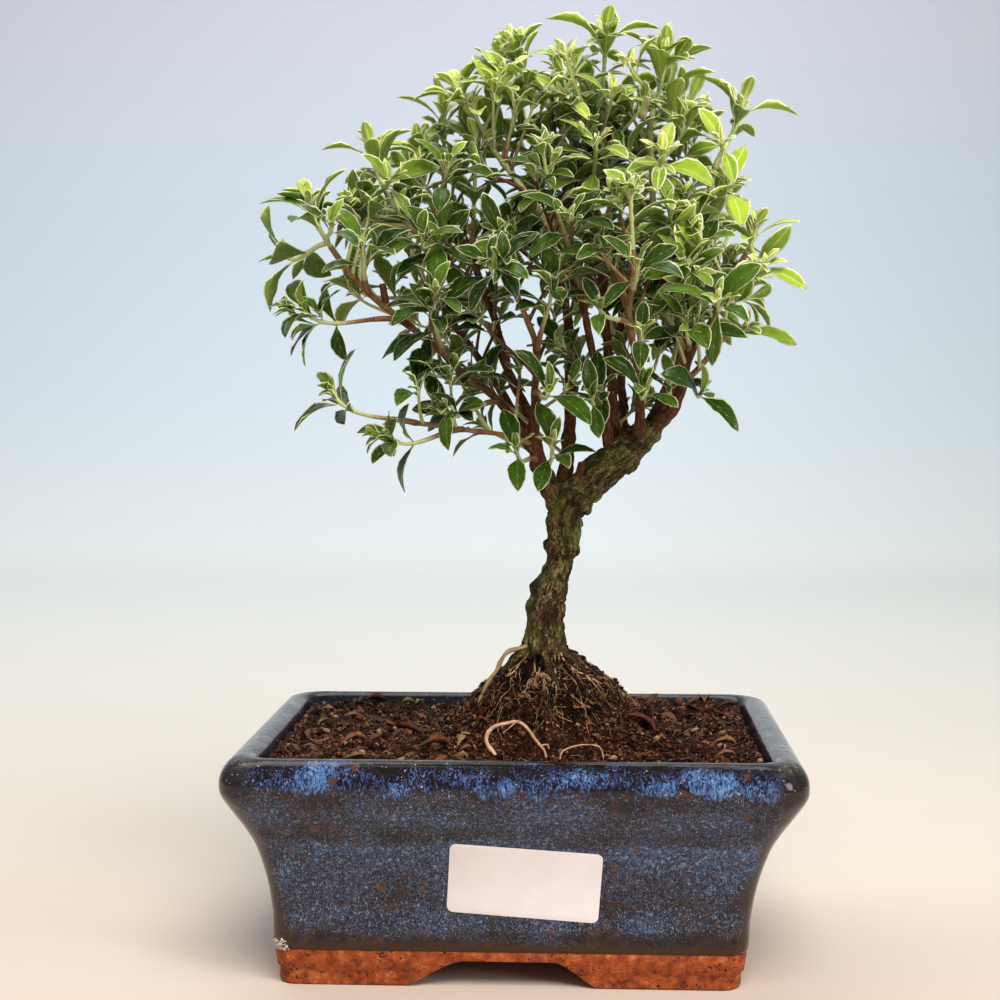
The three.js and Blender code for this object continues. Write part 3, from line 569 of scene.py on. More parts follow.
def glaze_runs(tree, mm, z):
    """Runs of cobalt, drawn out downwards and broken by bare gaps.

    Returns their strands, the height at which their wavering hem stands, and their colour.
    """
    tall = add(tree, "Mapping", {0: mm, "Scale": (1.2, 1.2, 0.5)})
    strands = add(tree, "TexNoise", {
        "Vector": tall, "Scale": 0.8, "Detail": 4, "Roughness": 0.62, "Distortion": 1.7})
    patches = add(tree, "TexNoise", {"Vector": mm, "Scale": 0.075, "Detail": 3})
    fullness = add(tree, "Math", {0: patches, 1: 0.55, 2: -0.3}, operation="MULTIPLY_ADD")
    strands = add(tree, "Math", {0: strands, 1: fullness}, operation="ADD")
    columns = add(tree, "Mapping", {0: mm, "Scale": (0.09, 0.09, 0)})
    hem = add(tree, "TexNoise", {"Vector": columns, "Scale": 1, "Detail": 3, "Roughness": 0.6})
    hem_z = add(tree, "Math", {0: hem, 1: 15.0, 2: z}, operation="MULTIPLY_ADD")
    fall = add(tree, "MapRange", {0: hem_z, 1: 68, 2: 79})
    pooled = add(tree, "ValToRGB", {0: fall}, ramp=[
        (0.08, 0.06), (0.2, 0.16), (0.4, 0.2), (0.65, 0.16), (0.85, 0.07)])
    flow = add(tree, "Math", {0: strands, 1: pooled}, operation="ADD")
    flow = add(tree, "Math", {0: flow, 1: 0.13}, operation="SUBTRACT")
    runs = add(tree, "ValToRGB", {0: flow}, ramp=[
        (0.43, "#150f12"), (0.49, "#221d31"), (0.55, "#32426c"), (0.64, "#486e9f"), (0.8, "#7d9dbf")])
    return strands, hem_z, runs


def blue_glaze():
    """Fired flambe glaze: a blue that breaks in specks and runs over a brown-black body glaze.

    It is glassy, so the lip mirrors the window; it thins to brown on the corners and the foot's edge.
    """
    material, tree, shader = new_material("glaze_flambe_blue_gloss")
    mm = millimetres(tree)
    place = add(tree, "SeparateXYZ", {0: mm})
    z = place.outputs["Z"]
    clouds = add(tree, "TexNoise", {"Vector": mm, "Scale": 0.055, "Detail": 4})
    wall, specks = glaze_wall(tree, mm, z, clouds)
    strands, hem_z, runs = glaze_runs(tree, mm, z)

    # The runs lie between their hem and the lip, and fade at the corners; inside the pot they fade too, as
    # painted shade.
    zone = add(tree, "MapRange", {0: hem_z, 1: 68.6, 2: 69.8}, **SMOOTH)
    high_end = add(tree, "MapRange", {0: hem_z, 1: 76.6, 2: 78.4, 3: 1, 4: 0}, **SMOOTH)
    beside = add(tree, "Math", {0: place.outputs["X"]}, operation="ABSOLUTE")
    afore = add(tree, "Math", {0: place.outputs["Y"]}, operation="ABSOLUTE")
    corner_x = add(tree, "MapRange", {0: beside, 1: 73, 2: 79}, **SMOOTH)
    corner_y = add(tree, "MapRange", {0: afore, 1: 48, 2: 56})
    corner = add(tree, "Math", {0: corner_x, 1: corner_y}, operation="MULTIPLY")
    within = add(tree, "Attribute", attribute_name="within")
    for part in (high_end, add(tree, "MapRange", {0: corner, 3: 1, 4: 0.12}),
                 add(tree, "MapRange", {0: within, 3: 1, 4: 0.12})):
        zone = add(tree, "Math", {0: zone, 1: part}, operation="MULTIPLY")

    # Above them the lip is bare body glaze, as are the corners; a pale grey painted reflection, streaked like
    # the glaze, lies on the side lips.
    lip = add(tree, "MapRange", {0: hem_z, 1: 76.8, 2: 78.6}, **SMOOTH)
    bare = add(tree, "MapRange", {0: z, 1: 57, 2: 61, 4: 0.75})
    bare = add(tree, "Math", {0: corner, 1: bare}, operation="MULTIPLY")
    aside = add(tree, "MapRange", {0: beside, 1: POT_WIDTH / 2 - 12, 2: POT_WIDTH / 2 - 8}, **SMOOTH)
    high = add(tree, "MapRange", {0: z, 1: 67, 2: 70}, **SMOOTH)
    painted_lip_sheen = add(tree, "Math", {0: aside, 1: high}, operation="MULTIPLY")
    lip_sheen_colour = add(tree, "ValToRGB", {0: strands}, ramp=[
        (0.38, "#1d1a17"), (0.5, "#403d39"), (0.66, "#7f796f")])
    # Inside the pot, behind the lip, a near-black painted shade lies over the glaze.
    shaded = add(tree, "Math", {0: within, 1: 0.7}, operation="MULTIPLY")

    # Brown spots of iron, 1 to 3 mm, and tan pinholes near the lip.
    ragged = add(tree, "TexNoise", {"Vector": mm, "Scale": 0.6, "Detail": 3}).outputs["Color"]
    ragged = add(tree, "VectorMath", {0: ragged, 1: (2.2, 2.2, 2.2), 2: mm}, operation="MULTIPLY_ADD")
    cells = add(tree, "TexVoronoi", {"Vector": ragged, "Scale": 0.16})
    chance = add(tree, "SeparateColor", {0: cells.outputs["Color"]})
    size = add(tree, "MapRange", {0: chance, 1: 0.6, 2: 1, 3: 0.02, 4: 0.27})
    inside = add(tree, "Math", {0: size, 1: cells.outputs["Distance"]}, operation="SUBTRACT")
    spot = add(tree, "MapRange", {0: inside, 1: -0.03, 2: 0.1, 4: 0.85}, **SMOOTH)
    pores = add(tree, "TexVoronoi", {"Vector": ragged, "Scale": 1.1})
    pick = add(tree, "SeparateColor", {0: pores.outputs["Color"]}).outputs["Green"]
    size = add(tree, "MapRange", {0: pick, 1: 0.8, 2: 1, 3: 0, 4: 0.34})
    inside = add(tree, "Math", {0: size, 1: pores.outputs["Distance"]}, operation="SUBTRACT")
    pore = add(tree, "MapRange", {0: inside, 1: 0, 2: 0.06})
    near_lip = add(tree, "MapRange", {0: z, 1: 60, 2: 64})
    pore = add(tree, "Math", {0: pore, 1: near_lip}, operation="MULTIPLY")

    # The glaze thins to brown on the corners and at its lower edge.
    worn = add(tree, "Attribute", attribute_name="worn")
    thin = add(tree, "MapRange", {0: z, 1: 15, 2: 12.2}, **SMOOTH)
    thin = add(tree, "Math", {0: thin, 1: worn}, operation="MAXIMUM")
    coat = layered(tree, wall, (zone, runs), (lip, "#151213"), (bare, "#1d1512"), (painted_lip_sheen, lip_sheen_colour),
                   (shaded, "#14131a"), (spot, "#5c3823"), (pore, "#b39884"), (thin, "#3a2417"))
    gloss = add(tree, "MapRange", {0: clouds, 1: 0.3, 2: 0.7, 3: 0.1, 4: 0.2})
    swell = add(tree, "TexNoise", {"Vector": mm, "Scale": 0.2, "Detail": 2})
    dimples = add(tree, "Math", {0: specks, 1: 0.08, 2: swell}, operation="MULTIPLY_ADD")
    pits = add(tree, "Math", {0: spot, 1: -0.3, 2: dimples}, operation="MULTIPLY_ADD")
    wire(shader, {
        "Base Color": coat, "Roughness": gloss, "IOR": 1.52, "Specular IOR Level": 0.36,
        "Specular Tint": (1.0, 0.94, 0.86, 1.0),
        "Normal": add(tree, "Bump", {"Height": pits, "Strength": 0.35, "Distance": 0.0006})})
    return material


def bare_clay():
    """Unglazed red stoneware, pressed: matt, grainy, with black iron specks up to 1.5 mm."""
    material, tree, shader = new_material("clay_unglazed_red")
    mm = millimetres(tree)
    tone = add(tree, "TexNoise", {"Vector": mm, "Scale": 0.3, "Detail": 6, "Roughness": 0.75})
    clay = add(tree, "ValToRGB", {0: tone}, ramp=[
        (0.3, "#4c1b08"), (0.43, "#843915"), (0.55, "#a54e20"), (0.7, "#cd7d48")])
    ragged = add(tree, "TexNoise", {"Vector": mm, "Scale": 1.2, "Detail": 3}).outputs["Color"]
    ragged = add(tree, "VectorMath", {0: ragged, 1: (1, 1, 1), 2: mm}, operation="MULTIPLY_ADD")
    grains = add(tree, "TexVoronoi", {"Vector": ragged, "Scale": 1.15})
    pick = add(tree, "SeparateColor", {0: grains.outputs["Color"]})
    where = add(tree, "TexNoise", {"Vector": mm, "Scale": 0.12, "Detail": 2})
    pick = add(tree, "Math", {0: where, 1: 2.2, 2: pick}, operation="MULTIPLY_ADD")
    reach = add(tree, "MapRange", {0: pick, 1: 1.6, 2: 2.35, 3: 0, 4: 0.6})
    iron = add(tree, "Math", {0: reach, 1: grains.outputs["Distance"]}, operation="SUBTRACT")
    speck = add(tree, "MapRange", {0: iron, 1: -0.05, 2: 0.16}, **SMOOTH)
    grain = add(tree, "TexNoise", {"Vector": mm, "Scale": 1.6, "Detail": 4})
    pits = add(tree, "Math", {0: speck, 1: -0.6, 2: grain}, operation="MULTIPLY_ADD")
    wire(shader, {
        "Base Color": layered(tree, clay, (speck, "#24150f")), "Roughness": 0.82,
        "Normal": add(tree, "Bump", {"Height": pits, "Strength": 0.6, "Distance": 0.0004})})
    return material


def coated_paper():
    """Coated sticker paper: nearly white, smooth, with a faint sheen and a hint of handling."""
    material, tree, shader = new_material("paper_coated_white")
    mm = millimetres(tree)
    haze = add(tree, "TexNoise", {"Vector": mm, "Scale": 0.12, "Detail": 4})
    tone = add(tree, "ValToRGB", {0: haze}, ramp=[(0.35, "#ebe4e7"), (0.65, "#efe9ec")])
    fibre = add(tree, "TexNoise", {"Vector": mm, "Scale": 2.5, "Detail": 2})
    wire(shader, {
        "Base Color": tone, "Roughness": 0.42,
        "Normal": add(tree, "Bump", {"Height": fibre, "Strength": 0.1, "Distance": 0.0001})})
    return material


def moulded_mesh():
    """Injection-moulded polypropylene: dark grey, semi-matt, with a fine spark-eroded grain."""
    return grained("polypropylene_moulded_dark", {"Scale": 3, "Detail": 3},
                   [(0.3, "#1a1d21"), (0.7, "#2a2e33")], (0.2, 0.0001), {"Roughness": 0.55})


def damp_soil():
    """Potting mix of peat and composted bark, damp: dark red-brown, matt, each crumb its own shade."""
    return grained(
        "soil_peat_bark_damp", {"Scale": 1.9, "Detail": 5, "Roughness": 0.75}, [
            (0.13, "#0b0604"), (0.34, "#211009"), (0.52, "#472213"), (0.66, "#713e21"),
            (0.79, "#8f6144"), (0.94, "#b99a78")],
        (1.0, 0.0008), {"Roughness": 0.75, "Specular IOR Level": 0.25}, ("tone", 2.9, 1, -1.43))


def rough_bark():
    """Living bark: fissured grey-olive on the trunk, red-brown and flaking on the limbs, tan on twigs.

    The grain attribute runs along each limb, in millimetres, girth is the limb's radius and fresh is
    the share of green young wood.
    """
    material, tree, shader = new_material("bark_serissa_fissured")
    mm = millimetres(tree)
    girth = add(tree, "Attribute", attribute_name="girth")
    grain = add(tree, "Attribute", attribute_name="grain").outputs["Vector"]
    drawn = add(tree, "Mapping", {0: grain, "Scale": (1, 1, 0.26)})
    fissure = add(tree, "TexNoise", {
        "Vector": drawn, "Scale": 1.6, "Detail": 8, "Roughness": 0.78, "Distortion": 1.1})
    old, green, red, limb, twig, pale, earth = (add(tree, "ValToRGB", {0: fissure}, ramp=stops) for stops in (
        [(0.38, "#110b07"), (0.46, "#35281a"), (0.52, "#645034"), (0.58, "#93815c"), (0.67, "#cbbb93")],
        [(0.36, "#1c200c"), (0.5, "#5a6228"), (0.63, "#a2a45c")],
        [(0.36, "#2a170e"), (0.5, "#69452f"), (0.64, "#a98161")],
        [(0.3, "#20120b"), (0.43, "#472a1a"), (0.54, "#71482e"), (0.66, "#976b4a"), (0.8, "#bb9570")],
        [(0.3, "#7c4f33"), (0.5, "#a7805a"), (0.68, "#c3aa7d")],
        [(0.28, "#7d6a42"), (0.42, "#a6ab6c"), (0.62, "#c3ca90")],
        [(0.35, "#120a07"), (0.55, "#33211a"), (0.72, "#6d563f")],
    ))
    plates = add(tree, "TexNoise", {"Vector": drawn, "Scale": 0.42, "Detail": 3, "Roughness": 0.6})
    moss = add(tree, "TexNoise", {"Vector": mm, "Scale": 0.09, "Detail": 4, "Roughness": 0.65})
    rust = add(tree, "TexNoise", {"Vector": mm, "Scale": 0.12, "Detail": 3})
    hollow, mossy, rusty, thick, slim = (
        add(tree, "MapRange", {0: value, 1: low, 2: high, 4: most}, **SMOOTH)
        for value, low, high, most in (
            (plates, 0.54, 0.4, 0.72), (moss, 0.43, 0.57, 0.86), (rust, 0.52, 0.66, 0.6),
            (girth, 2.1, 3.2, 1), (girth, 0.8, 1.25, 1)))
    fresh = add(tree, "Attribute", attribute_name="fresh")

    # Roots that run into the mound are stained by the soil.
    z = add(tree, "SeparateXYZ", {0: mm}).outputs["Z"]
    deep = add(tree, "Math", {0: moss, 1: 12, 2: z}, operation="MULTIPLY_ADD")
    buried = add(tree, "MapRange", {0: deep, 1: 102, 2: 95, 4: 0.85})
    old = layered(tree, old, (mossy, green), (rusty, red), (hollow, "#1b130c"))
    colour = layered(tree, twig, (slim, limb), (thick, old), (fresh, pale), (buried, earth))
    wire(shader, {
        "Base Color": colour, "Roughness": 0.8, "Specular IOR Level": 0.18,
        "Normal": add(tree, "Bump", {"Height": fissure, "Strength": 1.0, "Distance": 0.0008})})
    return material


def bare_root():
    """Freshly bared root: smooth, pale pinkish tan, with fine rings and soil stains."""
    return grained(
        "root_bared_smooth", {"Scale": 0.35, "Detail": 5}, [
            (0.3, "#2f2418"), (0.5, "#6a5839"), (0.68, "#937c58"), (0.84, "#b98d6d"), (1.0, "#d0aa8a")],
        (0.3, 0.0003), {"Roughness": 0.6}, ("tone", 1, 0.5, 0))


def green_stem():
    """Young stem: waxy pale green, yellower at the tip and tan where it starts to turn to wood."""
    return grained(
        "stem_green_waxy", {"Scale": 0.8, "Detail": 3}, [
            (0.15, "#bccf66"), (0.45, "#bbc882"), (0.7, "#bcbb87"), (0.84, "#94714c"), (1.0, "#5b3825")],
        (0.15, 0.0002), {"Roughness": 0.5, "Subsurface Weight": 0.15,
                         "Subsurface Radius": (0.6, 1.0, 0.3), "Subsurface Scale": 0.001},
        ("age", 0.3, 1, 0))


def leaf_face(upper):
    """Living leaf of a variegated serissa: green with a cream margin and a pale midrib.

    Old upper faces are dark and glossy, young ones yellow-green; the underside is matt and paler.
    rim and rib are millimetres from the margin and the midrib, age runs from 0 at a shoot's tip to 1.
    """
    material, tree, shader = new_material("leaf_variegated_" + ("upper" if upper else "under"))
    age, tone, rim, rib = (
        add(tree, "Attribute", attribute_name=kept) for kept in ("age", "tone", "rim", "rib"))
    across = add(tree, "SeparateXYZ", {0: add(tree, "UVMap", uv_map="blade")})
    mm = millimetres(tree)
    mottle = add(tree, "TexNoise", {"Vector": mm, "Scale": 0.5, "Detail": 4})
    shade = add(tree, "Math", {0: mottle, 1: 0.3, 2: age}, operation="MULTIPLY_ADD")
    shade = add(tree, "Math", {0: tone, 1: 0.3, 2: shade}, operation="MULTIPLY_ADD")
    shade = add(tree, "Math", {0: shade, 1: 0.3}, operation="SUBTRACT")
    green = add(tree, "ValToRGB", {0: shade}, ramp=[
        (0.2, "#a6c23a"), (0.42, "#7d9c2e"), (0.65, "#4d6c19"), (0.88, "#2c460e"), (1.0, "#1e3307"),
    ] if upper else [(0.2, "#a3b64a"), (0.5, "#7f943b"), (0.8, "#657a32"), (1.0, "#526528")])

    # Side veins leave the midrib forwards, about 1.3 mm apart, and show as faint paler lines.
    middle = add(tree, "Math", {0: across.outputs["Y"], 1: 0.5}, operation="SUBTRACT")
    middle = add(tree, "Math", {0: middle}, operation="ABSOLUTE")
    slanted = add(tree, "Math", {0: middle, 1: -0.6, 2: across.outputs["X"]}, operation="MULTIPLY_ADD")
    beat = add(tree, "Math", {0: slanted, 1: 9.0}, operation="MULTIPLY")
    beat = add(tree, "Math", {0: beat, 1: 1.0}, operation="PINGPONG")
    vein = add(tree, "MapRange", {0: beat, 1: 0.14, 2: 0.02}, **SMOOTH)
    faint = add(tree, "Math", {0: vein, 1: 0.14 if upper else 0.3}, operation="MULTIPLY")

    # The midrib is a thread on old leaves and a feathered pale band on young ones.
    band = add(tree, "MapRange", {0: age, 1: 0.1, 2: 0.6, 3: 0.5, 4: 0.06})
    feather = add(tree, "Math", {0: vein, 1: 0.25, 2: band}, operation="MULTIPLY_ADD")
    nearness = add(tree, "Math", {0: feather, 1: rib}, operation="SUBTRACT")
    pale = add(tree, "MapRange", {0: nearness, 1: -0.08, 2: 0.16, 3: 0, 4: 0.85}, **SMOOTH)
    pale_colour = add(tree, "ValToRGB", {0: age}, ramp=[(0.1, "#dde58c"), (0.8, "#849a4c")])

    # The cream margin is 0.4 to 0.8 mm wide and wavers.
    waver = add(tree, "TexNoise", {"Vector": mm, "Scale": 0.45, "Detail": 3})
    width = add(tree, "MapRange", {0: age, 3: 0.36, 4: -0.06})
    width = add(tree, "Math", {0: waver, 1: 0.6, 2: width}, operation="MULTIPLY_ADD")
    outside = add(tree, "Math", {0: width, 1: rim}, operation="SUBTRACT")
    cream = add(tree, "MapRange", {0: outside, 1: -0.05, 2: 0.12}, **SMOOTH)
    cream_colour = add(tree, "ValToRGB", {0: age}, ramp=[(0.1, "#f4f5c2"), (0.9, "#dfe3ad")])
    face = layered(tree, green, (faint, "#93a95c"), (pale, pale_colour), (cream, cream_colour))
    relief = add(tree, "Math", {0: vein, 1: -0.5, 2: mottle}, operation="MULTIPLY_ADD")
    wire(shader, {
        "Base Color": face, "Specular IOR Level": 0.33, "Subsurface Weight": 0.25,
        "Subsurface Radius": (0.5, 0.9, 0.15), "Subsurface Scale": 0.001,
        "Roughness": add(tree, "MapRange", {0: age, 3: 0.42, 4: 0.26}) if upper else 0.6,
        "Normal": add(tree, "Bump", {"Height": relief, "Strength": 0.25, "Distance": 0.0002})})
    return material


def dry_litter():
    """Dead leaves and bark on the soil: matt, curled, from ochre to chestnut."""
    return grained(
        "litter_dry_leaf_and_bark", {"Scale": 0.8, "Detail": 5}, [
            (0.1, "#24120b"), (0.35, "#4a2617"), (0.55, "#6d3e25"), (0.75, "#8f6a43"), (1.0, "#858049")],
        (0.5, 0.0004), {"Roughness": 0.75}, ("tone", 0.5, 1, -0.25))


def lime_bloom():
    """Hard-water lime and old salts on the pot's corner: chalky off-white crust."""
    return grained("lime_crust_chalky", {"Scale": 1, "Detail": 4},
                   [(0.35, "#8d7a68"), (0.55, "#d9d0c4")], (0.6, 0.0003), {"Roughness": 0.9})


# ---------------------------------------------------------------- pot
def smooth_profile(profile, step=0.8):
    """The profile as a smooth line, points about a step apart."""
    course = through([(inset, z, 0) for inset, z in profile])
    count = max(int(length_of(course) / step), 2)
    spots = [course(i / count) for i in range(count + 1)]
    return [(max(spot[0], 0.02), spot[1]) for spot in spots]


WALL = smooth_profile(WALL_PROFILE)
OUTER_WALL = WALL[:int(np.argmax([z for _, z in WALL]))]


def wall_inset(z):
    """How far the outer wall lies inside the pot's widest outline at a height."""
    insets, heights = zip(*OUTER_WALL)
    return np.interp(z, heights, insets)


def pot_spot(x, y, inset, z):
    """Moves a point of the pot's widest outline to the outline at an inset and height."""
    radius = max(POT_CORNER - 0.3 * inset, 3)
    moved = []
    for value, size in ((x, POT_WIDTH), (y, POT_DEPTH)):
        straight = size / 2 - POT_CORNER
        reach = size / 2 - inset - radius
        over = max(abs(value) - straight, 0) / POT_CORNER
        away = min(abs(value), straight) / straight * reach + over * radius
        moved.append(math.copysign(away, value))
    return moved[0] - POT_LEAN * (1 - z / POT_HEIGHT), moved[1], z


def outline_spot(turn):
    """A point of the widest outline; turn runs from 0 to 1 round it, most densely at the corners."""
    quarter, share = divmod(turn * 4, 1)
    arc = min(share / 0.4, 1) * math.pi / 2 + quarter * math.pi / 2
    signs = ((1, 1), (-1, 1), (-1, -1), (1, -1))[int(quarter) % 4]
    x = signs[0] * CORNER_X + POT_CORNER * math.cos(arc)
    y = signs[1] * CORNER_Y + POT_CORNER * math.sin(arc)
    run = max(share - 0.4, 0) / 0.6
    if int(quarter) % 2:
        return x, y - signs[1] * run * 2 * CORNER_Y
    return x - signs[0] * run * 2 * CORNER_X, y


def rolled(around, profile):
    """A solid with the pot's outline at every point of a profile, its two ends closed."""
    bm = bmesh.new()
    bmesh.ops.create_grid(bm, x_segments=around, y_segments=len(profile) - 1, size=0.5)
    for vert in bm.verts:
        inset, z = profile[round((vert.co.y + 0.5) * (len(profile) - 1))]
        vert.co = pot_spot(*outline_spot((vert.co.x + 0.5) % 1), inset, z)
    bmesh.ops.remove_doubles(bm, verts=bm.verts, dist=1e-4)
    bmesh.ops.holes_fill(bm, edges=[edge for edge in bm.edges if edge.is_boundary])
    bmesh.ops.recalc_face_normals(bm, faces=bm.faces)
    return mesh_of(bm)


def arch_cutter(arch, length, turn=0):
    """The opening between two corner feet, as a solid that runs through the foot along Y."""
    bm = bmesh.new()
    steps = 28
    bmesh.ops.create_grid(bm, x_segments=2 * steps, y_segments=1, size=1)
    for vert in bm.verts:
        side, share = (arch["left"], -vert.co.x) if vert.co.x < 0 else (arch["right"], vert.co.x)
        slope = smoothstep(side, arch["half"], share * side)
        x = math.copysign(share * side, vert.co.x)
        vert.co = (x, -length / 2, arch["height"] * slope if vert.co.y > 0 else -1)
    thicken(bm, (0, length, 0))
    bmesh.ops.rotate(bm, verts=bm.verts, matrix=Matrix.Rotation(turn, 3, "Z"))
    bmesh.ops.translate(bm, verts=bm.verts, vec=(-POT_LEAN, 0, 0))
    return mesh_of(bm)


def drain_cutter(side):
    """One drain hole; side is -1 for the left one and 1 for the right one."""
    bm = bmesh.new()
    place = Matrix.Translation((side * DRAIN_SPACING / 2, 0, FLOOR))
    bmesh.ops.create_cone(bm, cap_ends=True, segments=48, radius1=DRAIN_RADIUS, radius2=DRAIN_RADIUS,
                          depth=30, matrix=place)
    return mesh_of(bm)


def make_pot():
    """The pot: foot, stepped glaze line, flaring wall, rolled lip and inside, with its openings cut."""
    shell = rolled(150, FOOT_PROFILE + [tuple(row) for row in WALL] + INSIDE_PROFILE)
    recess = rolled(80, [(FOOT_INSET + FOOT_WALL, -1), (FOOT_INSET + FOOT_WALL + 1, UNDERSIDE)])
    mesh = cut(shell, recess, arch_cutter(FRONT_ARCH, POT_DEPTH + 10),
               arch_cutter(SIDE_ARCH, POT_WIDTH + 10, math.pi / 2), drain_cutter(-1), drain_cutter(1))
    mesh = with_modifiers(mesh, ("BEVEL", {"width": 0.45, "segments": 2, "limit_method": "ANGLE",
                                           "angle_limit": math.radians(50)}))
    spots = points_of(mesh)
    lean = spots[:, 0] + POT_LEAN * (1 - spots[:, 2] / POT_HEIGHT)
    inset = wall_inset(spots[:, 2])
    over_x = 1 - (POT_WIDTH / 2 - inset - np.abs(lean)) / 9
    over_y = 1 - (POT_DEPTH / 2 - inset - np.abs(spots[:, 1])) / 9
    worn = []
    for spot, corner in zip(spots, np.minimum(over_x, over_y)):
        patch = ripple(*spot, 9) + 0.6 * ripple(*spot, 3, 7)
        worn.append(0.85 * smoothstep(0.3, 0.75, corner + 0.3 * patch) * (spot[2] < 60))
    write(mesh, "worn", worn)
    # Inside the pot begins behind the lip, which is wider at the two ends.
    depth = np.minimum(POT_WIDTH / 2 - np.abs(lean), POT_DEPTH / 2 - np.abs(spots[:, 1])) - inset
    ends = POT_WIDTH / 2 - np.abs(lean) < POT_DEPTH / 2 - np.abs(spots[:, 1])
    write(mesh, "within", np.clip((depth - np.where(ends, 6.5, 4)) / 2, 0, 1))
    for face in mesh.polygons:
        face.material_index = int(face.center.z < GLAZE_LINE)
    return finished("pot_glazed", mesh, [GLAZE, CLAY], ["pot"], sharp=35)


def make_label():
    """The bare sticker, corners rounded, laid along the curve of the front wall."""
    bm = bmesh.new()
    bmesh.ops.create_grid(bm, x_segments=1, y_segments=1, size=0.5)
    bmesh.ops.scale(bm, verts=bm.verts, vec=(LABEL["width"], LABEL["height"], 1))
    bmesh.ops.bevel(bm, geom=bm.verts[:], offset=LABEL["corner"], segments=8, profile=0.5,
                    affect="VERTICES", material=-1)
    for row in range(1, 24):
        cut_at = Vector((0, LABEL["height"] * (row / 24 - 0.5), 0))
        bmesh.ops.bisect_plane(bm, geom=bm.verts[:] + bm.edges[:] + bm.faces[:], plane_co=cut_at,
                               plane_no=(0, 1, 0))
    thicken(bm, (0, 0, LABEL["thick"]))
    rims = [edge for edge in bm.edges if edge.calc_face_angle(0) > 1 and edge.verts[0].co.z > 0.1]
    bmesh.ops.bevel(bm, geom=rims, offset=0.05, segments=2, profile=0.5, affect="EDGES", material=-1)
    tilt = math.radians(LABEL["tilt"])
    for vert in bm.verts:
        across, rise, off = vert.co
        x = LABEL["x"] + across * math.cos(tilt) - rise * math.sin(tilt)
        z = LABEL["z"] + across * math.sin(tilt) + rise * math.cos(tilt)
        vert.co = (x, -(POT_DEPTH / 2 - wall_inset(z) + 0.04 + off), z)
    return finished("label_blank", mesh_of(bm), [PAPER], ["label"], sharp=40)


def make_lime_crust():
    """Lime and salts at the front left corner of the foot, in thin scabs."""
    draw = seeded(41)
    flake, shape = ball()
    bm = bmesh.new()
    for _ in range(LIME_SCABS):
        # The outline runs round its front left corner from a turn of 0.5 to 0.6.
        turn = 0.5 + 0.1 * (0.5 + 0.42 * (draw() - 0.5) + 0.4 * (draw() - 0.5))
        z = 10.2 + 3.4 * draw() ** 2 + 1.8 * (draw() - 0.5)
        inset = 16.5 if z < 11 else float(wall_inset(z))
        spot = np.array(pot_spot(*outline_spot(turn), inset, z))
        size = 0.2 + 0.55 * draw() ** 2
        stamp(bm, flake, spot + turned(shape * (1, 0.8, 0.35), draw, 3) * size)
    return finished("lime_crust", mesh_of(bm), [LIME])


# ---------------------------------------------------------------- soil
def soil_height(x, y):
    """Height of the packed soil: the mound, drawn out to the sides and the back, and its clods."""
    reach = np.where(x < MOUND["x"], MOUND["left"] * MOUND_SPREAD, MOUND["right"])
    depth = np.where(y < MOUND["y"], 0.95, MOUND_SPREAD) * MOUND["depth"]
    away = np.hypot((x - MOUND["x"]) / reach, (y - MOUND["y"]) / depth)
    cone = np.interp(away, *zip(*MOUND_PROFILE))
    clods = 0.9 * np.sin(0.31 * x + 1.3) * np.cos(0.27 * y) + 0.7 * np.sin(0.17 * x - 0.4 * y)
    heap = 1.6 * np.clip((x - 5) / 30, 0, 1) * np.clip((y - 22) / 26, 0, 1)
    return SOIL_LEVEL + cone + clods + heap


def soil_top(x, y):
    """Height of the fine soil surface: the bed's mound and clods with its crumb."""
    crumb = 0.9 * ripple(x, y, 0, 5) + 0.7 * ripple(x, y, 9, 2.2) + 0.35 * ripple(x, y, 4, 0.9)
    return float(soil_height(x, y)) + crumb


def mound_share(x, y):
    """How far up the mound a place lies, from 0 on the flat bed to 1; the soil is made darker by it."""
    return smoothstep(5, 20, float(soil_height(x, y)) - SOIL_LEVEL)


def inside_pot(x, y, margin):
    """Whether a point of the soil keeps a margin from the pot's wall."""
    far_x = max(abs(x + 0.1) - (POT_WIDTH / 2 - margin - 8), 0)
    far_y = max(abs(y) - (POT_DEPTH / 2 - margin - 8), 0)
    return math.hypot(far_x, far_y) < 8


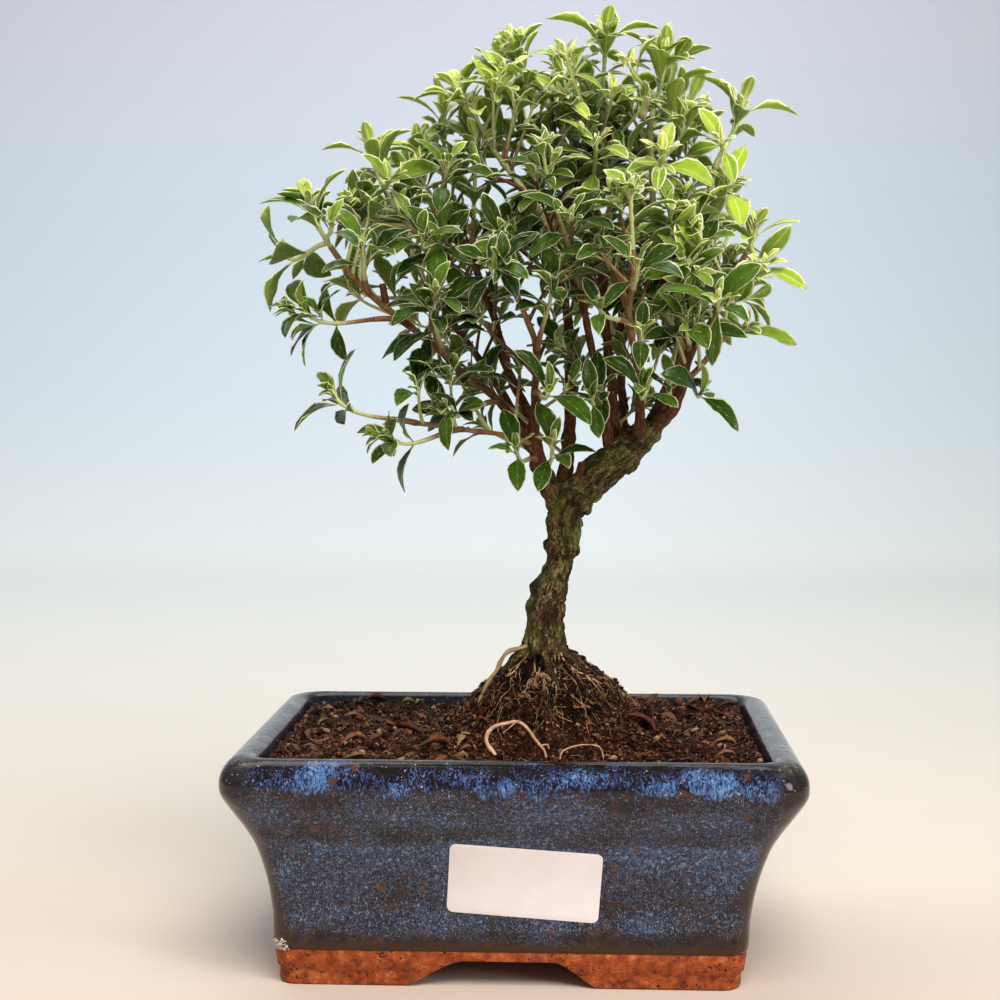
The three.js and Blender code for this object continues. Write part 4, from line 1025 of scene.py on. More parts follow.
def make_soil_bed():
    """The closed body of soil, its top broken up by the crumb."""
    bm = bmesh.new()
    bmesh.ops.create_grid(bm, x_segments=230, y_segments=172, size=1)
    for vert in bm.verts:
        # The point of the outline that the grid's point lies towards, and how far out it is.
        share = max(abs(vert.co.x), abs(vert.co.y), 1e-6)
        x, y = vert.co.x / share * POT_WIDTH / 2, vert.co.y / share * POT_DEPTH / 2
        if abs(x) > CORNER_X and abs(y) > CORNER_Y:
            away = Vector((abs(x) - CORNER_X, abs(y) - CORNER_Y)).normalized() * POT_CORNER
            x, y = math.copysign(CORNER_X + away.x, x), math.copysign(CORNER_Y + away.y, y)
        x, y, _ = pot_spot(x, y, SOIL_INSET, SOIL_LEVEL)
        x, y = share * x, share * y
        vert.co = (x, y, soil_top(x, y))
    rim = [edge for edge in bm.edges if edge.is_boundary]
    for inset, z in SOIL_SIDE:
        made = bmesh.ops.extrude_edge_only(bm, edges=rim)["geom"]
        rim = [edge for edge in made if isinstance(edge, bmesh.types.BMEdge)]
        for vert in {vert for edge in rim for vert in edge.verts}:
            spot = []
            for value, size in zip(vert.co.xy, (POT_WIDTH, POT_DEPTH)):
                reach = size / 2 - inset
                grown = value * (reach / (size / 2 - SOIL_INSET))
                spot.append(grown if z > 60 else math.copysign(min(abs(value), reach), value))
            vert.co = (*spot, z)
    bmesh.ops.holes_fill(bm, edges=rim)
    bmesh.ops.recalc_face_normals(bm, faces=bm.faces)
    mesh = mesh_of(bm)
    tones = [0.33 + 0.22 * ripple(*spot, 4) + 0.25 * ripple(*spot, 1.2, 3) - 0.14 * mound_share(*spot[:2])
             for spot in points_of(mesh)]
    write(mesh, "tone", tones)
    return finished("soil_bed", mesh, [SOIL], ["soil"])


def scattered(draw, count, margin, clear=False):
    """Places on the soil, denser on the mound; clear leaves out the ground under the bare root."""
    found = 0
    while found < count:
        x, y = (draw() - 0.5) * POT_WIDTH, (draw() - 0.5) * POT_DEPTH
        if draw() < 0.3:
            x, y = MOUND["x"] + 0.42 * x, MOUND["y"] + 0.45 * y
        in_clearing = abs(x - CLEARING["x"]) < CLEARING["half"] and CLEARING["from"] < y < CLEARING["to"]
        if inside_pot(x, y, margin) and not (clear and in_clearing):
            found += 1
            yield x, y


def make_soil_crumbs():
    """Loose crumbs of peat and bark, 0.5 to 3 mm."""
    draw = seeded(77)
    crumb, shape = ball()
    kinds = [shape * (1 + 0.7 * np.array([[draw() - 0.5] for _ in shape])) for _ in range(24)]
    bm = bmesh.new()
    for x, y in scattered(draw, CRUMBS, 12.6):
        size = 0.25 + 0.46 * draw() + 1.1 * draw() ** 10
        stretch = np.array([1, 0.5 + 0.5 * draw(), 0.4 + 0.5 * draw()])
        spots = turned(kinds[int(draw() * 24)] * stretch * size, draw, 1.4)
        tone = 0.08 + 0.56 * draw() + 0.5 * draw() ** 6 - 0.17 * mound_share(x, y)
        stamp(bm, crumb, spots + (x, y, soil_top(x, y) + 0.3 * size + 0.3 * draw()), tone=tone)
    return finished("soil_crumbs", mesh_of(bm), [SOIL])


def make_bark_chips():
    """Flat chips of composted bark, 2 to 7 mm long, lying and standing in the crumb."""
    draw = seeded(303)

    def chip_shape(bm):
        bmesh.ops.create_cube(bm, size=1)
        bmesh.ops.subdivide_edges(bm, edges=bm.edges[:], cuts=1, use_grid_fill=True)

    chip = template_of(chip_shape)
    shape = points_of(chip)
    bm = bmesh.new()
    for x, y in scattered(draw, CHIPS, 14.5, True):
        if mound_share(x, y) > 0.1:
            continue
        size = np.array([1.6 + 5 * draw() ** 3, 0.9 + 1.6 * draw(), 0.4 + 0.6 * draw()])
        rough = np.array([[0.16 * (draw() - 0.5) for _ in range(3)] for _ in shape])
        spots = turned((shape + rough) * size, draw, 1.1)
        tone = 0.15 + 0.4 * draw() + 0.3 * draw() ** 4
        stamp(bm, chip, spots + (x, y, soil_top(x, y) + 0.5 + 0.6 * draw()), tone=tone)
    return finished("bark_chips", mesh_of(bm), [LITTER], sharp=30)


def surface_path(draw, x, y, aim, steps, step, lift, wander):
    """A path that creeps over the soil from a point."""
    path = []
    for i in range(steps):
        path.append((x, y, soil_top(x, y) + lift(i / (steps - 1))))
        aim += wander * (draw() - 0.5)
        x, y = x + step * math.cos(aim), y + step * math.sin(aim)
        if not inside_pot(x, y, 14):
            break
    return path


def tapered(spots, radius, loss):
    """The spots with a radius that shrinks towards their end."""
    return [(spot, radius * (1 - loss * i / len(spots))) for i, spot in enumerate(spots)]


def make_root_hairs():
    """Fine pale roots and fibres that show between the crumbs, most of them on the mound."""
    draw = seeded(911)
    paths = []
    starts = [(x, y, TURN * draw(), 4 + int(7 * draw())) for x, y in scattered(draw, HAIRS, 14, True)]
    for _ in range(FOOT_HAIRS):
        aim = -TURN / 4 + 4.2 * (draw() - 0.5)
        away = 8 + 15 * draw()
        starts.append((MOUND["x"] + away * math.cos(aim), MOUND["y"] + away * math.sin(aim),
                       aim + 0.8 * (draw() - 0.5), 6 + int(11 * draw())))
    for x, y, aim, steps in starts:
        radius = 0.08 + 0.12 * draw() ** 3
        rise = 0.4 + 0.8 * draw()
        spots = surface_path(draw, x, y, aim, steps, 0.8,
                             lambda share: rise * math.sin(math.pi * share) + 0.2, 1.0)
        if len(spots) > 2:
            paths.append(tapered(spots, radius, 0.6))
    # Thicker ones that run out from the trunk's foot, with three twigs each.
    for aim in (-2.5, -2.1, -1.75, -1.35, -1.2, -1.0, -0.85, -0.45, 0.5, 1.6, 2.4):
        x, y = MOUND["x"] + 6.5 * math.cos(aim), MOUND["y"] + 6.5 * math.sin(aim)
        radius = 0.24 + 0.14 * draw()
        spots = surface_path(draw, x, y, aim, 18 + int(14 * draw()), 0.9,
                             lambda share: 0.5 - 0.4 * share, 0.7)
        paths.append(tapered(spots, radius, 0.6))
        for k in (5, 9, 13):
            twig = surface_path(draw, *spots[k][:2], aim + 1.8 * (draw() - 0.5), 5 + int(6 * draw()), 0.8,
                                lambda share: 0.4 - 0.3 * share, 0.9)
            paths.append(tapered(twig, 0.5 * radius, 0.5))
    mesh = tubes(paths, 1)
    write(mesh, "tone", [0.22 + 0.9 * ripple(*spot, 6) for spot in points_of(mesh)])
    return finished("root_hairs", mesh, [ROOT])


# ---------------------------------------------------------------- wood
def limb_path(name, start=0.0, end=1.0, step=1.3, seed=0.0):
    """Points and radii along a limb, with knuckles where old leaves stood and a slight wander."""
    course = LIMB_COURSES[name]
    length = length_of(course)
    count = max(int(length * (end - start) / step), 3)
    path = []
    for i in range(count + 1):
        place = start + (end - start) * i / count
        spot = course(place)
        radius = limb_radius(name, place)
        knuckle = max(math.sin(place * length / 3.3 + 5 * seed), 0) ** 6
        wander = min(0.3 * radius, 0.5) * smoothstep(0, 0.1, place) * smoothstep(1, 0.9, place)
        spot = spot + wander * np.array([ripple(*spot, 7, seed + k) for k in (1, 2, 3)])
        slim = SLIMMED if name in SLENDER else 1
        path.append((spot, slim * radius * (0.96 + 0.26 * knuckle + 0.14 * ripple(*spot, 3, seed))))
    return path


def root_path(radius, route):
    """A surface root that runs down the mound from the trunk and goes under."""
    heights = [1, -0.4, *[-1.5] * (len(route) - 2), -3]
    points = [np.array([x, y, float(soil_height(x, y)) + lift])
              for (x, y), lift in zip([*route, route[-1]], heights)]
    points[-1] = points[-3] + 1.5 * (points[-2] - points[-3]) - (0, 0, 3)
    course = through(points)
    return [(course(i / 40), radius * (1.05 - 0.55 * i / 40)) for i in range(41)]


def grain_of(mesh, paths):
    """Keeps for each vertex where it lies along its limb and how thick the limb is there, and gives both."""
    lines = []
    for path in paths:
        run = 0.0
        for (a, radius), (b, _) in zip(path, path[1:]):
            lines.append((a, unit(np.array(b) - a), run, radius))
            run += np.linalg.norm(np.array(b) - a)
        run += 50
    tree = kdtree.KDTree(len(lines))
    for i, line in enumerate(lines):
        tree.insert(line[0], i)
    tree.balance()
    grain, girth = [], []
    for spot in points_of(mesh):
        _, index, _ = max(tree.find_n(spot, 12), key=lambda near: lines[near[1]][3] - near[2])
        a, axis, run, radius = lines[index]
        across = unit(np.cross(axis, (0, 1, 0.01)))
        off = spot - a
        grain.append((off @ across + index * 1e-4, off @ np.cross(axis, across), run + off @ axis))
        girth.append(radius)
    write(mesh, "grain", grain, "FLOAT_VECTOR")
    write(mesh, "girth", girth)
    write(mesh, "fresh", [
        smoothstep(220, 248, spot[2] + 18 * ripple(*spot, 6)) * smoothstep(2.1, 1.5, radius)
        * smoothstep(-0.45, -0.2, ripple(*spot, 3.5, 8))
        for spot, radius in zip(points_of(mesh), girth)])
    return np.array(grain, np.float32), np.array(girth, np.float32)


def make_trunk():
    """Trunk, fork, surface roots and the roots of the limbs, grown together and fissured."""
    paths = [limb_path("trunk", step=1.0), limb_path("leftFork", step=1.0)]
    # The thick limbs that spring from the forks grow out of them with their first 12 mm.
    for name in SLENDER:
        if LIMBS[name][0][3] >= 1.5 and LIMBS[name][0][2] < 170:
            paths.append(limb_path(name, 0, 12 / length_of(LIMB_COURSES[name]), 1.0))
    paths += [root_path(radius, route) for radius, route in SURFACE_ROOTS]
    mesh = with_modifiers(tubes(paths, 3), ("REMESH", {"mode": "VOXEL", "voxel_size": 0.48}),
                          ("SMOOTH", {"factor": 0.5, "iterations": 4}))
    spots, normals = points_of(mesh), points_of(mesh, "normal")
    grain, girth = grain_of(mesh, paths)
    # Surface roots count as thick wood, so that their bark is the trunk's.
    write(mesh, "girth", np.maximum(girth, np.interp(spots[:, 2], (104, 112), (3.2, 0))))
    lift = []
    for spot, (gx, gy, gz), thick in zip(spots, grain, girth):
        furrow = noise.turbulence(Vector((gx / 3.2, gy / 3.2, gz / 9)), 3, False,
                                  noise_basis="PERLIN_ORIGINAL")
        lump = ripple(*spot, 7, 4)
        flake = max(ripple(gx, gy, gz / 2, 1.6, 6), 0)
        grit = noise.noise(Vector((gx / 0.9, gy / 0.9, gz / 2)))
        rise = 0.9 + 0.9 * (furrow - 0.45) + 0.75 * lump + 0.95 * flake + 0.5 * grit
        lift.append(min(thick / 4, 1) * rise)
    spots += normals * np.array(lift)[:, None]
    mesh.vertices.foreach_set("co", spots.astype(np.float32).ravel())
    return finished("trunk_bark", mesh, [BARK], ["trunk"])


def make_limbs(twigs):
    """Limbs and woody twigs beyond the trunk, and the stubs of pruned ones."""
    paths = [limb_path(name, seed=i) for i, name in enumerate(SLENDER, 2)] + twigs
    stubs = [([17, 1, 143], [20, -4.5, 155], 1.5), ([-41, -15, 204], [-42, -17, 211], 1.2),
             ([38, -12, 262], [40, -15, 268], 1.3), ([-26, 20, 240], [-29, 17, 246], 1.2)]
    for low, high, radius in stubs:
        low, high = np.array(low, float), np.array(high, float)
        paths.append([(low + (high - low) * t, radius * (1 - 0.12 * t)) for t in (0, 0.3, 0.6, 0.93, 1)])
    draw = seeded(1217)
    for path in paths[:len(SLENDER)]:
        for spot, radius in path[3:-6:2]:
            if draw() < 0.42:
                aim = unit(np.array([draw() - 0.5, draw() - 0.5, 0.7 * draw() - 0.1]))
                reach = radius + 0.7 + 1.5 * draw() ** 2
                paths.append([(spot + aim * reach * t, 0.5 - 0.14 * t) for t in (0, 0.5, 0.8, 1)])
    mesh = tubes(paths, 3)
    grain_of(mesh, paths)
    return finished("limbs_and_twigs", mesh, [BARK])


def make_root_loop():
    """The bare root that leaves the soil and dives back, with side hairs, and two more bare roots.

    One of them is a small arch to its right, the other comes down through the air from the trunk's foot.
    """
    course = through(ROOT_LOOP)
    main = []
    for i in range(71):
        spot = course(i / 70)
        wander = 0.55 * math.sin(math.pi * i / 70) * np.array([ripple(*spot, 5, k) for k in (1, 2, 3)])
        main.append((spot + wander, 0.74 * (1 - 0.5 * i / 70) * (1 + 0.2 * ripple(*spot, 2.5))))
    fork, knee = course(0.8), course(0.47)
    paths = [main]
    for points, radius in (
        ([fork, fork + (1.2, 0, 0.4), fork + (2.4, 0, 0), fork + (2.8, -1, -5)], 0.34),
        ([knee, knee + (-1.5, -1.5, -1.2), knee + (-4, -2, -3)], 0.2),
        (ROOT_ARCH, 0.3),
    ):
        side = through(points)
        paths.append([(side(i / 24) + 0.25 * ripple(*side(i / 24), 4) * UP, radius * (1 - 0.35 * i / 24))
                      for i in range(25)])
    free = through(FREE_ROOT)
    paths.append([(free(i / 36) - 0.6 * UP, (0.78 - 0.25 * i / 36) * (1 + 0.15 * math.sin(0.9 * i)))
                  for i in range(37)])
    mesh = tubes(paths, 4)
    tones = [(0.68 if spot[1] < -22 else 0.28) + 0.5 * ripple(*spot, 5) for spot in points_of(mesh)]
    write(mesh, "tone", tones)
    return finished("root_loop_bare", mesh, [ROOT], ["root_loop"])


# ---------------------------------------------------------------- leaves
LEAF_STATIONS = [0, 0.1, 0.28, 0.46, 0.64, 0.8, 0.92, 1]
LEAF_WIDTHS = [0.12, 0.19, 0.5, 0.85, 1, 0.88, 0.53, 0.08]
LEAF_THICKNESS = 0.26
LARGE_LEAF_FROM = 9.5  # the length from which a leaf takes the finer template
# Leaves keep to this box, just inside the solids' own.
LEAF_ROOM = np.array(cad_box) / MM + np.array([[0.1], [-0.1]])


def make_leaf_template(stations, columns):
    """A thin closed blade: a grid for its upper face, and a copy of it below joined along the rim.

    Returns it with what each vertex has: its place along, its place across from -1 to 1, the share of
    the full width there, and its height.
    """
    bm = bmesh.new()
    bmesh.ops.create_grid(bm, x_segments=len(stations) - 1, y_segments=columns, size=0.5)
    for vert in bm.verts:
        vert.co.z = 0 if vert.is_boundary else 0.5
    made = bmesh.ops.duplicate(bm, geom=bm.verts[:] + bm.edges[:] + bm.faces[:])["geom"]
    for vert in (item for item in made if isinstance(item, bmesh.types.BMVert)):
        vert.co.z *= -1
    below = [item for item in made if isinstance(item, bmesh.types.BMFace)]
    for face in below:
        face.material_index = 1
    bmesh.ops.reverse_faces(bm, faces=below)
    bmesh.ops.remove_doubles(bm, verts=bm.verts, dist=1e-4)
    blade = bm.loops.layers.uv.new("blade")
    for face in bm.faces:
        for corner in face.loops:
            column = round((corner.vert.co.x + 0.5) * (len(stations) - 1))
            corner[blade].uv = (stations[column], corner.vert.co.y + 0.5)
    mesh = mesh_of(bm, "leaf")
    spots = points_of(mesh)
    along = np.interp(spots[:, 0] + 0.5, np.linspace(0, 1, len(stations)), stations)
    widths = np.interp(along, LEAF_STATIONS, LEAF_WIDTHS)
    return mesh, along, 2 * spots[:, 1], widths, spots[:, 2] * LEAF_THICKNESS


LARGE_LEAF = make_leaf_template(LEAF_STATIONS, 4)
SMALL_LEAF = make_leaf_template([0, 0.12, 0.35, 0.62, 0.86, 1], 2)


def lay_leaf(bm, base, along, face, length, draw, droop=0.2, fold=0.35, age=0.5, broad=1.0):
    """Adds one leaf. along is the way it points and face the way its upper side looks."""
    template, steps, across, widths, sides = LARGE_LEAF if length > LARGE_LEAF_FROM else SMALL_LEAF
    face = unit(face + 0.6 * (UP - along * (along @ UP)))
    left = np.cross(along, face)
    half = length * BLADE_RATIO * 0.5 * broad
    roll = 0.7 * (draw() - 0.5)
    wave = 0.07 * length * draw()
    phase = TURN * draw()
    # The blade folds up along its midrib, arches and droops to its tip, waves at its rim and rolls over.
    cup = fold * half * widths * (0.45 * np.abs(across) + 0.55 * across ** 2)
    rise = length * (0.1 * np.sin(2.8 * steps) - droop * steps ** 2) + cup + sides
    rise = rise + wave * across ** 2 * np.sin(8 * steps + phase + 2 * across) * widths
    reach = half * widths * across
    sway = 0.06 * length * (draw() - 0.5) * steps ** 2
    out = reach * np.cos(roll * steps) + sway
    up = rise + reach * np.sin(roll * steps)
    spots = base + np.outer(length * steps, along) + np.outer(out, left) + np.outer(up, face)
    grown = math.sqrt(max(11 / length, 1))
    rim = np.minimum(half * widths * (1 - np.abs(across)), length * (1 - steps)) * grown
    stamp(bm, template, np.clip(spots, *LEAF_ROOM), rim=rim, rib=np.abs(reach) * grown, age=age, tone=draw())


def blade_axes(axis, first, second, angle, tilt, lift):
    """The way a leaf points and the way its upper side looks, by its turn about an axis and its tilt."""
    radial = first * math.cos(angle) + second * math.sin(angle)
    along = axis * math.cos(tilt) + radial * math.sin(tilt)
    face = axis * math.sin(tilt) - radial * math.cos(tilt) + lift * UP
    return along, unit(face - along * (face @ along))


def blade_frame(leaf, turn):
    """A leaf's base, the way it points and the way its upper side looks."""
    angle = leaf["heading"] + math.radians(leaf["sway"] + turn)
    tilt = math.radians(leaf["tilt"])
    return leaf["base"], *blade_axes(leaf["axis"], leaf["first"], leaf["second"], angle, tilt, 0.3)


def rosette(bm, base, axis, draw, count, size, age, open_by=24):
    """A tuft of leaves in crossed pairs round an axis, the youngest innermost."""
    axis = unit(np.array(axis, float))
    first = unit(np.cross(axis, (0.3, 0.9, 0.2)))
    second = np.cross(axis, first)
    turn = TURN * draw()
    for i in range(count):
        pair = i // 2
        angle = turn + math.pi * (i % 2) + math.pi / 2 * pair + 0.5 * (draw() - 0.5)
        tilt = math.radians(open_by + 19 * pair + 22 * (draw() - 0.5))
        along, face = blade_axes(axis, first, second, angle, tilt, 0.25)
        length = size * (0.62 + 0.2 * pair) * (0.85 + 0.3 * draw())
        lay_leaf(bm, base - axis * 0.5 * pair, along, face, length, draw, 0.1 + 0.25 * draw(),
                 0.3 + 0.3 * draw(), min(age + 0.12 * pair, 1), 0.8 + 0.25 * draw())


# ---------------------------------------------------------------- shoots
def shoot_course(bearer, place, tip, bow=1.0):
    """The course of one shoot: it leaves its bearer, bends outwards and rises to its tip."""
    root, tip = bearer(place), np.array(tip, float)
    reach = np.linalg.norm(tip - root)
    span = (tip - root) / reach
    low = root + 0.33 * reach * unit(0.5 * bow * heading(bearer, place) + span)
    high = tip - 0.33 * reach * unit(span + bow * UP)

    def at(t):
        s = 1 - t
        return s ** 3 * root + 3 * s * s * t * low + 3 * s * t * t * high + t ** 3 * tip

    return at


def stem_radius(place):
    """Radius of a green stem at a place along it."""
    return STEM_BASE + (STEM_TIP - STEM_BASE) * place


def joints_of(reach, green, pairs, turn, size, draw):
    """A shoot's joints from its base up: place on the course, and what its pair of leaves is like."""
    need = sum(row[0] for row in LEAF_PAIRS[:pairs])
    squeeze = min(1, (reach - 2) / need)
    joints, below = [], 0
    for k, (gap, length, tilt) in enumerate(LEAF_PAIRS[:pairs]):
        below += max(gap * squeeze * (0.9 + 0.2 * draw()), 1.3 if k else 0.8)
        twist = math.radians(turn + 24 * (draw() - 0.5))
        leaves = [{
            "sway": 16 * (draw() - 0.5), "tilt": tilt + 16 * (draw() - 0.5),
            "length": length * size * (0.85 + 0.3 * draw()), "droop": 0.12 + 0.22 * draw(),
            "fold": 0.25 + 0.25 * draw(),
        } for _ in range(2)]
        joints.append({"place": 1 - (1 - green) * below / reach, "side": k % 2, "twist": twist,
                       "leaves": leaves, "rank": k})
    return joints[::-1]


def set_leaves(course, length, green, joints):
    """Gives every leaf of a shoot the place and the frame that it grows from."""
    first = None

    def frame_at(place):
        nonlocal first
        axis = heading(course, place)
        if first is None:
            first = np.array([1.0, 0, 0]) if abs(axis[0]) < 0.85 else UP
        first = unit(first - axis * (first @ axis))
        return axis, first, np.cross(axis, first)

    def corners(place, axis, first, second, twist):
        ring = [twist + math.pi * (turns - 0.5) for turns in (0.25, 0.75, 1.25, 1.75)]
        reach = 1.15 * stem_radius(place)
        return [course(place) + reach * (first * math.cos(a) + second * math.sin(a)) for a in ring]

    frame_at(green)
    if (joints[0]["place"] - green) * length > 9:
        frame_at((green + joints[0]["place"]) / 2)
    for joint in joints:
        low_place, high_place = (joint["place"] + s * LEAF_ROOT / 2 / length for s in (-1, 1))
        low = corners(low_place, *frame_at(low_place), joint["twist"])
        frame_high = frame_at(high_place)
        high = corners(high_place, *frame_high, joint["twist"])
        for i, leaf in enumerate(joint["leaves"]):
            side = joint["side"] + 2 * i
            root = [low[side], low[(side + 1) % 4], high[(side + 1) % 4], high[side]]
            leaf.update(zip(("axis", "first", "second"), frame_high), base=sum(root) / 4,
                        heading=joint["twist"] + math.pi / 2 * side)


def grow_shoots():
    """All shoots: their courses, joints and leaves, gathered by the node that each belongs to."""
    nodes = []
    for row, (bearer, place, tip, pairs, turn, size) in enumerate(SHOOTS):
        fork = bearer == "+"
        if fork:
            main = nodes[-1][0]
            start = main["green"] + place * (1 - main["green"])
            course = shoot_course(main["course"], start, tip)
        else:
            course = shoot_course(LIMB_COURSES[bearer], place, tip)
        length = length_of(course)
        bark = 0 if fork else min((limb_radius(bearer, place) + 1.6 + 0.2 * length) / length, 0.6)
        green = 0 if fork else bark + SEAT_GAP / length
        joints = joints_of(length * (1 - green), green, pairs, turn, size, seeded(7919 * (row + 3)))
        set_leaves(course, length, green, joints)
        shoot = {"course": course, "length": length, "bark": bark, "green": green, "joints": joints,
                 "row": row, "tip": np.array(tip, float)}
        if not fork:
            nodes.append([])
        nodes[-1].append(shoot)
    return nodes


def chosen_bend(leaf, solid):
    """The turn and share that the solids gave a leaf, or None for a leaf that they left out."""
    for turn, share in BENDS:
        base, along, face = blade_frame(leaf, turn)
        length = leaf["length"] * share
        tip = base + along * length + face * length * (0.1 * math.sin(2.8) - leaf["droop"])
        # The leaf is in the solids if one of their corners is at its tip.
        if solid.find(tip * MM)[2] < 0.2 * MM:
            return turn, share
    return None


def over_forks(x):
    """Whether a place lies in the part of the crown that leaves the bare forks in sight below it."""
    return -12 < x < 48


def youth_at(spot):
    """How young the leaves are at a place: the crown's top and its outer right side are young."""
    return smoothstep(209, 277, spot[2] + 0.85 * max(spot[0] - 18, 0) + 0.2 * max(-spot[0] - 25, 0))


def stem_path(shoot):
    """A stem that swells where its leaves stand."""
    length = shoot["length"]
    start = max(shoot["bark"] - 1 / length, 0)
    count = max(int(length * (1 - start) / 0.9), 6)
    places = [start + (1 - start) * i / count for i in range(count + 1)]
    path = []
    for place in places:
        knots = (math.exp(-(((place - joint["place"]) * length) / 0.8) ** 2) for joint in shoot["joints"])
        path.append((shoot["course"](place), stem_radius(place) * (1.0 + 0.45 * sum(knots))))
    return path


def woody_end(shoot):
    """The part of a shoot next to its limb, which has turned to wood."""
    places = [shoot["bark"] * i / 8 for i in range(9)]
    return [(shoot["course"](place), 1.08 * stem_radius(place)) for place in places]


FILL_GAP = 9.4  # the stem's length for each loose pair between two joints, on a full shoot


def fill_stem(bm, course, low, high, pairs, draw, youth):
    """Adds loose pairs of leaves between two places on a shoot."""
    for k in range(pairs):
        place = low + (high - low) * (k + 0.55) / pairs
        axis = heading(course, place)
        first = unit(np.cross(axis, (0.2, 0.3, 0.9)))
        second = np.cross(axis, first)
        turn = TURN / 4 * (k % 2) + draw()
        for half_turn in (0, math.pi):
            if draw() < 0.25:
                continue
            angle = turn + half_turn + math.radians(20 * (draw() - 0.5))
            along, face = blade_axes(axis, first, second, angle, math.radians(44 + 38 * draw()), 0.3)
            base = course(place) + 0.6 * along
            lay_leaf(bm, base, along, face, 12.2 + 6 * draw(), draw, 0.12 + 0.26 * draw(),
                     0.3 + 0.3 * draw(), min(0.45 + 0.55 * (1 - youth), 1), 0.82 + 0.25 * draw())


def dress(bm, shoot, draw, youth, solid=None, spread=1.0):
    """Adds a shoot's leaves: its pairs, the pairs between them, and the small leaves in their axils.

    solid holds the corners of the shoot's solid, whose leaves the pairs then follow, and spread says
    how full the shoot is.
    """
    course, length = shoot["course"], shoot["length"]
    places = [shoot["green"]] + [joint["place"] for joint in shoot["joints"]]
    for joint in shoot["joints"]:
        age = min(0.08 + 0.18 * joint["rank"] + 0.62 * (1 - youth) + 0.12 * draw(), 1)
        for leaf in joint["leaves"]:
            bend = chosen_bend(leaf, solid) if solid else (50 * (draw() - 0.5), 1)
            turn, share = bend or (60 * (draw() - 0.5), 0.72)
            base, along, face = blade_frame(leaf, turn)
            lay_leaf(bm, base, along, face, leaf["length"] * share, draw, leaf["droop"], leaf["fold"],
                     age, 0.78 + 0.22 * draw())
            if draw() < min(0.4 * spread, 0.62):
                radial = unit(along - leaf["axis"] * (along @ leaf["axis"]) + 1e-6)
                bud = unit(leaf["axis"] + 0.8 * radial)
                rosette(bm, base + bud * (1.5 + 2.5 * draw()), bud, draw, 2 + 2 * (draw() < 0.45),
                        leaf["length"] * (0.68 + 0.36 * draw()), max(age - 0.12, 0.05))
    for low, high in zip(places, places[1:]):
        fill_stem(bm, course, low, high, int(spread * (high - low) * length / FILL_GAP), draw, youth)
    axis = heading(course, 1)
    rosette(bm, shoot["tip"] - axis * 1.2, axis, draw, 4, 7 + 4 * draw(), 0.05 + 0.45 * (1 - youth), 14)


def add_stems(bm, paths, ages):
    """Joins green stems to a piece that holds leaves; ages gives their age at each of their points."""
    stems = tubes(paths, 1)
    write(stems, "age", ages(points_of(stems)))
    count = len(bm.faces)
    bm.from_mesh(stems)
    bm.faces.ensure_lookup_table()
    for face in bm.faces[count:]:
        face.material_index = 2


def make_spray(number, shoots):
    """One node's sprays: green stems, the leaves of the solids, and the small leaves between them."""
    name = f"shoot_{number:02d}"
    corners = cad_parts[name].data.vertices
    solid = kdtree.KDTree(len(corners))
    for vert in corners:
        solid.insert(vert.co, vert.index)
    solid.balance()
    bm = bmesh.new()
    for shoot in shoots:
        draw = seeded(104729 + 31 * shoot["row"])
        youth = min(max(youth_at(shoot["tip"]) + 0.3 * (draw() - 0.5), 0), 1)
        # The crown is fullest at its top, looser at its two sides, and leaves its forks in sight.
        x, _, z = shoot["tip"]
        full = 1 + 0.7 * smoothstep(235, 262, z)
        edge = 0.55 * smoothstep(-48, -60, x) + 0.8 * smoothstep(54, 66, x)
        dress(bm, shoot, draw, youth, solid, 0.15 if z < 203 and over_forks(x) else full - edge)
    tips = np.array([shoot["tip"] for shoot in shoots])
    old = 0.3 * (1 - youth_at(tips[0]))

    def ages(spots):
        away = np.min(np.linalg.norm(spots[:, None] - tips[None], axis=2), axis=1)
        return np.clip(away / 45, 0, 0.75) + old

    add_stems(bm, [stem_path(shoot) for shoot in shoots], ages)
    return finished(f"spray_{number:02d}", mesh_of(bm), [LEAF_UPPER, LEAF_UNDER, STEM], [name])


CROWN_CENTRE = np.array([6.0, 2.0, 214.0])


def crown_share(spot, tips):
    """How far out in the crown a spot lies: 1 is as far as the three shoot tips nearest its direction."""
    off = spot - CROWN_CENTRE
    reaches = np.linalg.norm(tips, axis=1)
    match = (tips / reaches[:, None]) @ unit(off)
    near = np.argsort(match)[::-1][:3]
    crown_reach = float(np.average(reaches[near], weights=np.maximum(match[near], 0.01) ** 8))
    return np.linalg.norm(off) / crown_reach


def inner_tip(spot, axis, tips, draw):
    """A tip for an inner shoot, the first of nine tries that the crown has room for, or None."""
    for attempt in range(9):
        side = unit(np.cross(axis, (draw() - 0.5, draw() - 0.5, draw() - 0.5)))
        aim = unit(side + 0.5 * axis + (0, 0, 0.5))
        tip = spot + aim * (13 + 19 * draw()) * (1 - 0.07 * attempt)
        # There's an airy gap at the crown's left, and the sides are filled less far out.
        x, _, z = tip
        airy = -44 < x < -26 and 208 < z < 230 and draw() < 0.85
        limit = 0.99 - 0.14 * smoothstep(44, 60, x) - 0.08 * smoothstep(-40, -54, x)
        if crown_share(tip, tips) < limit and not airy:
            return tip
    return None


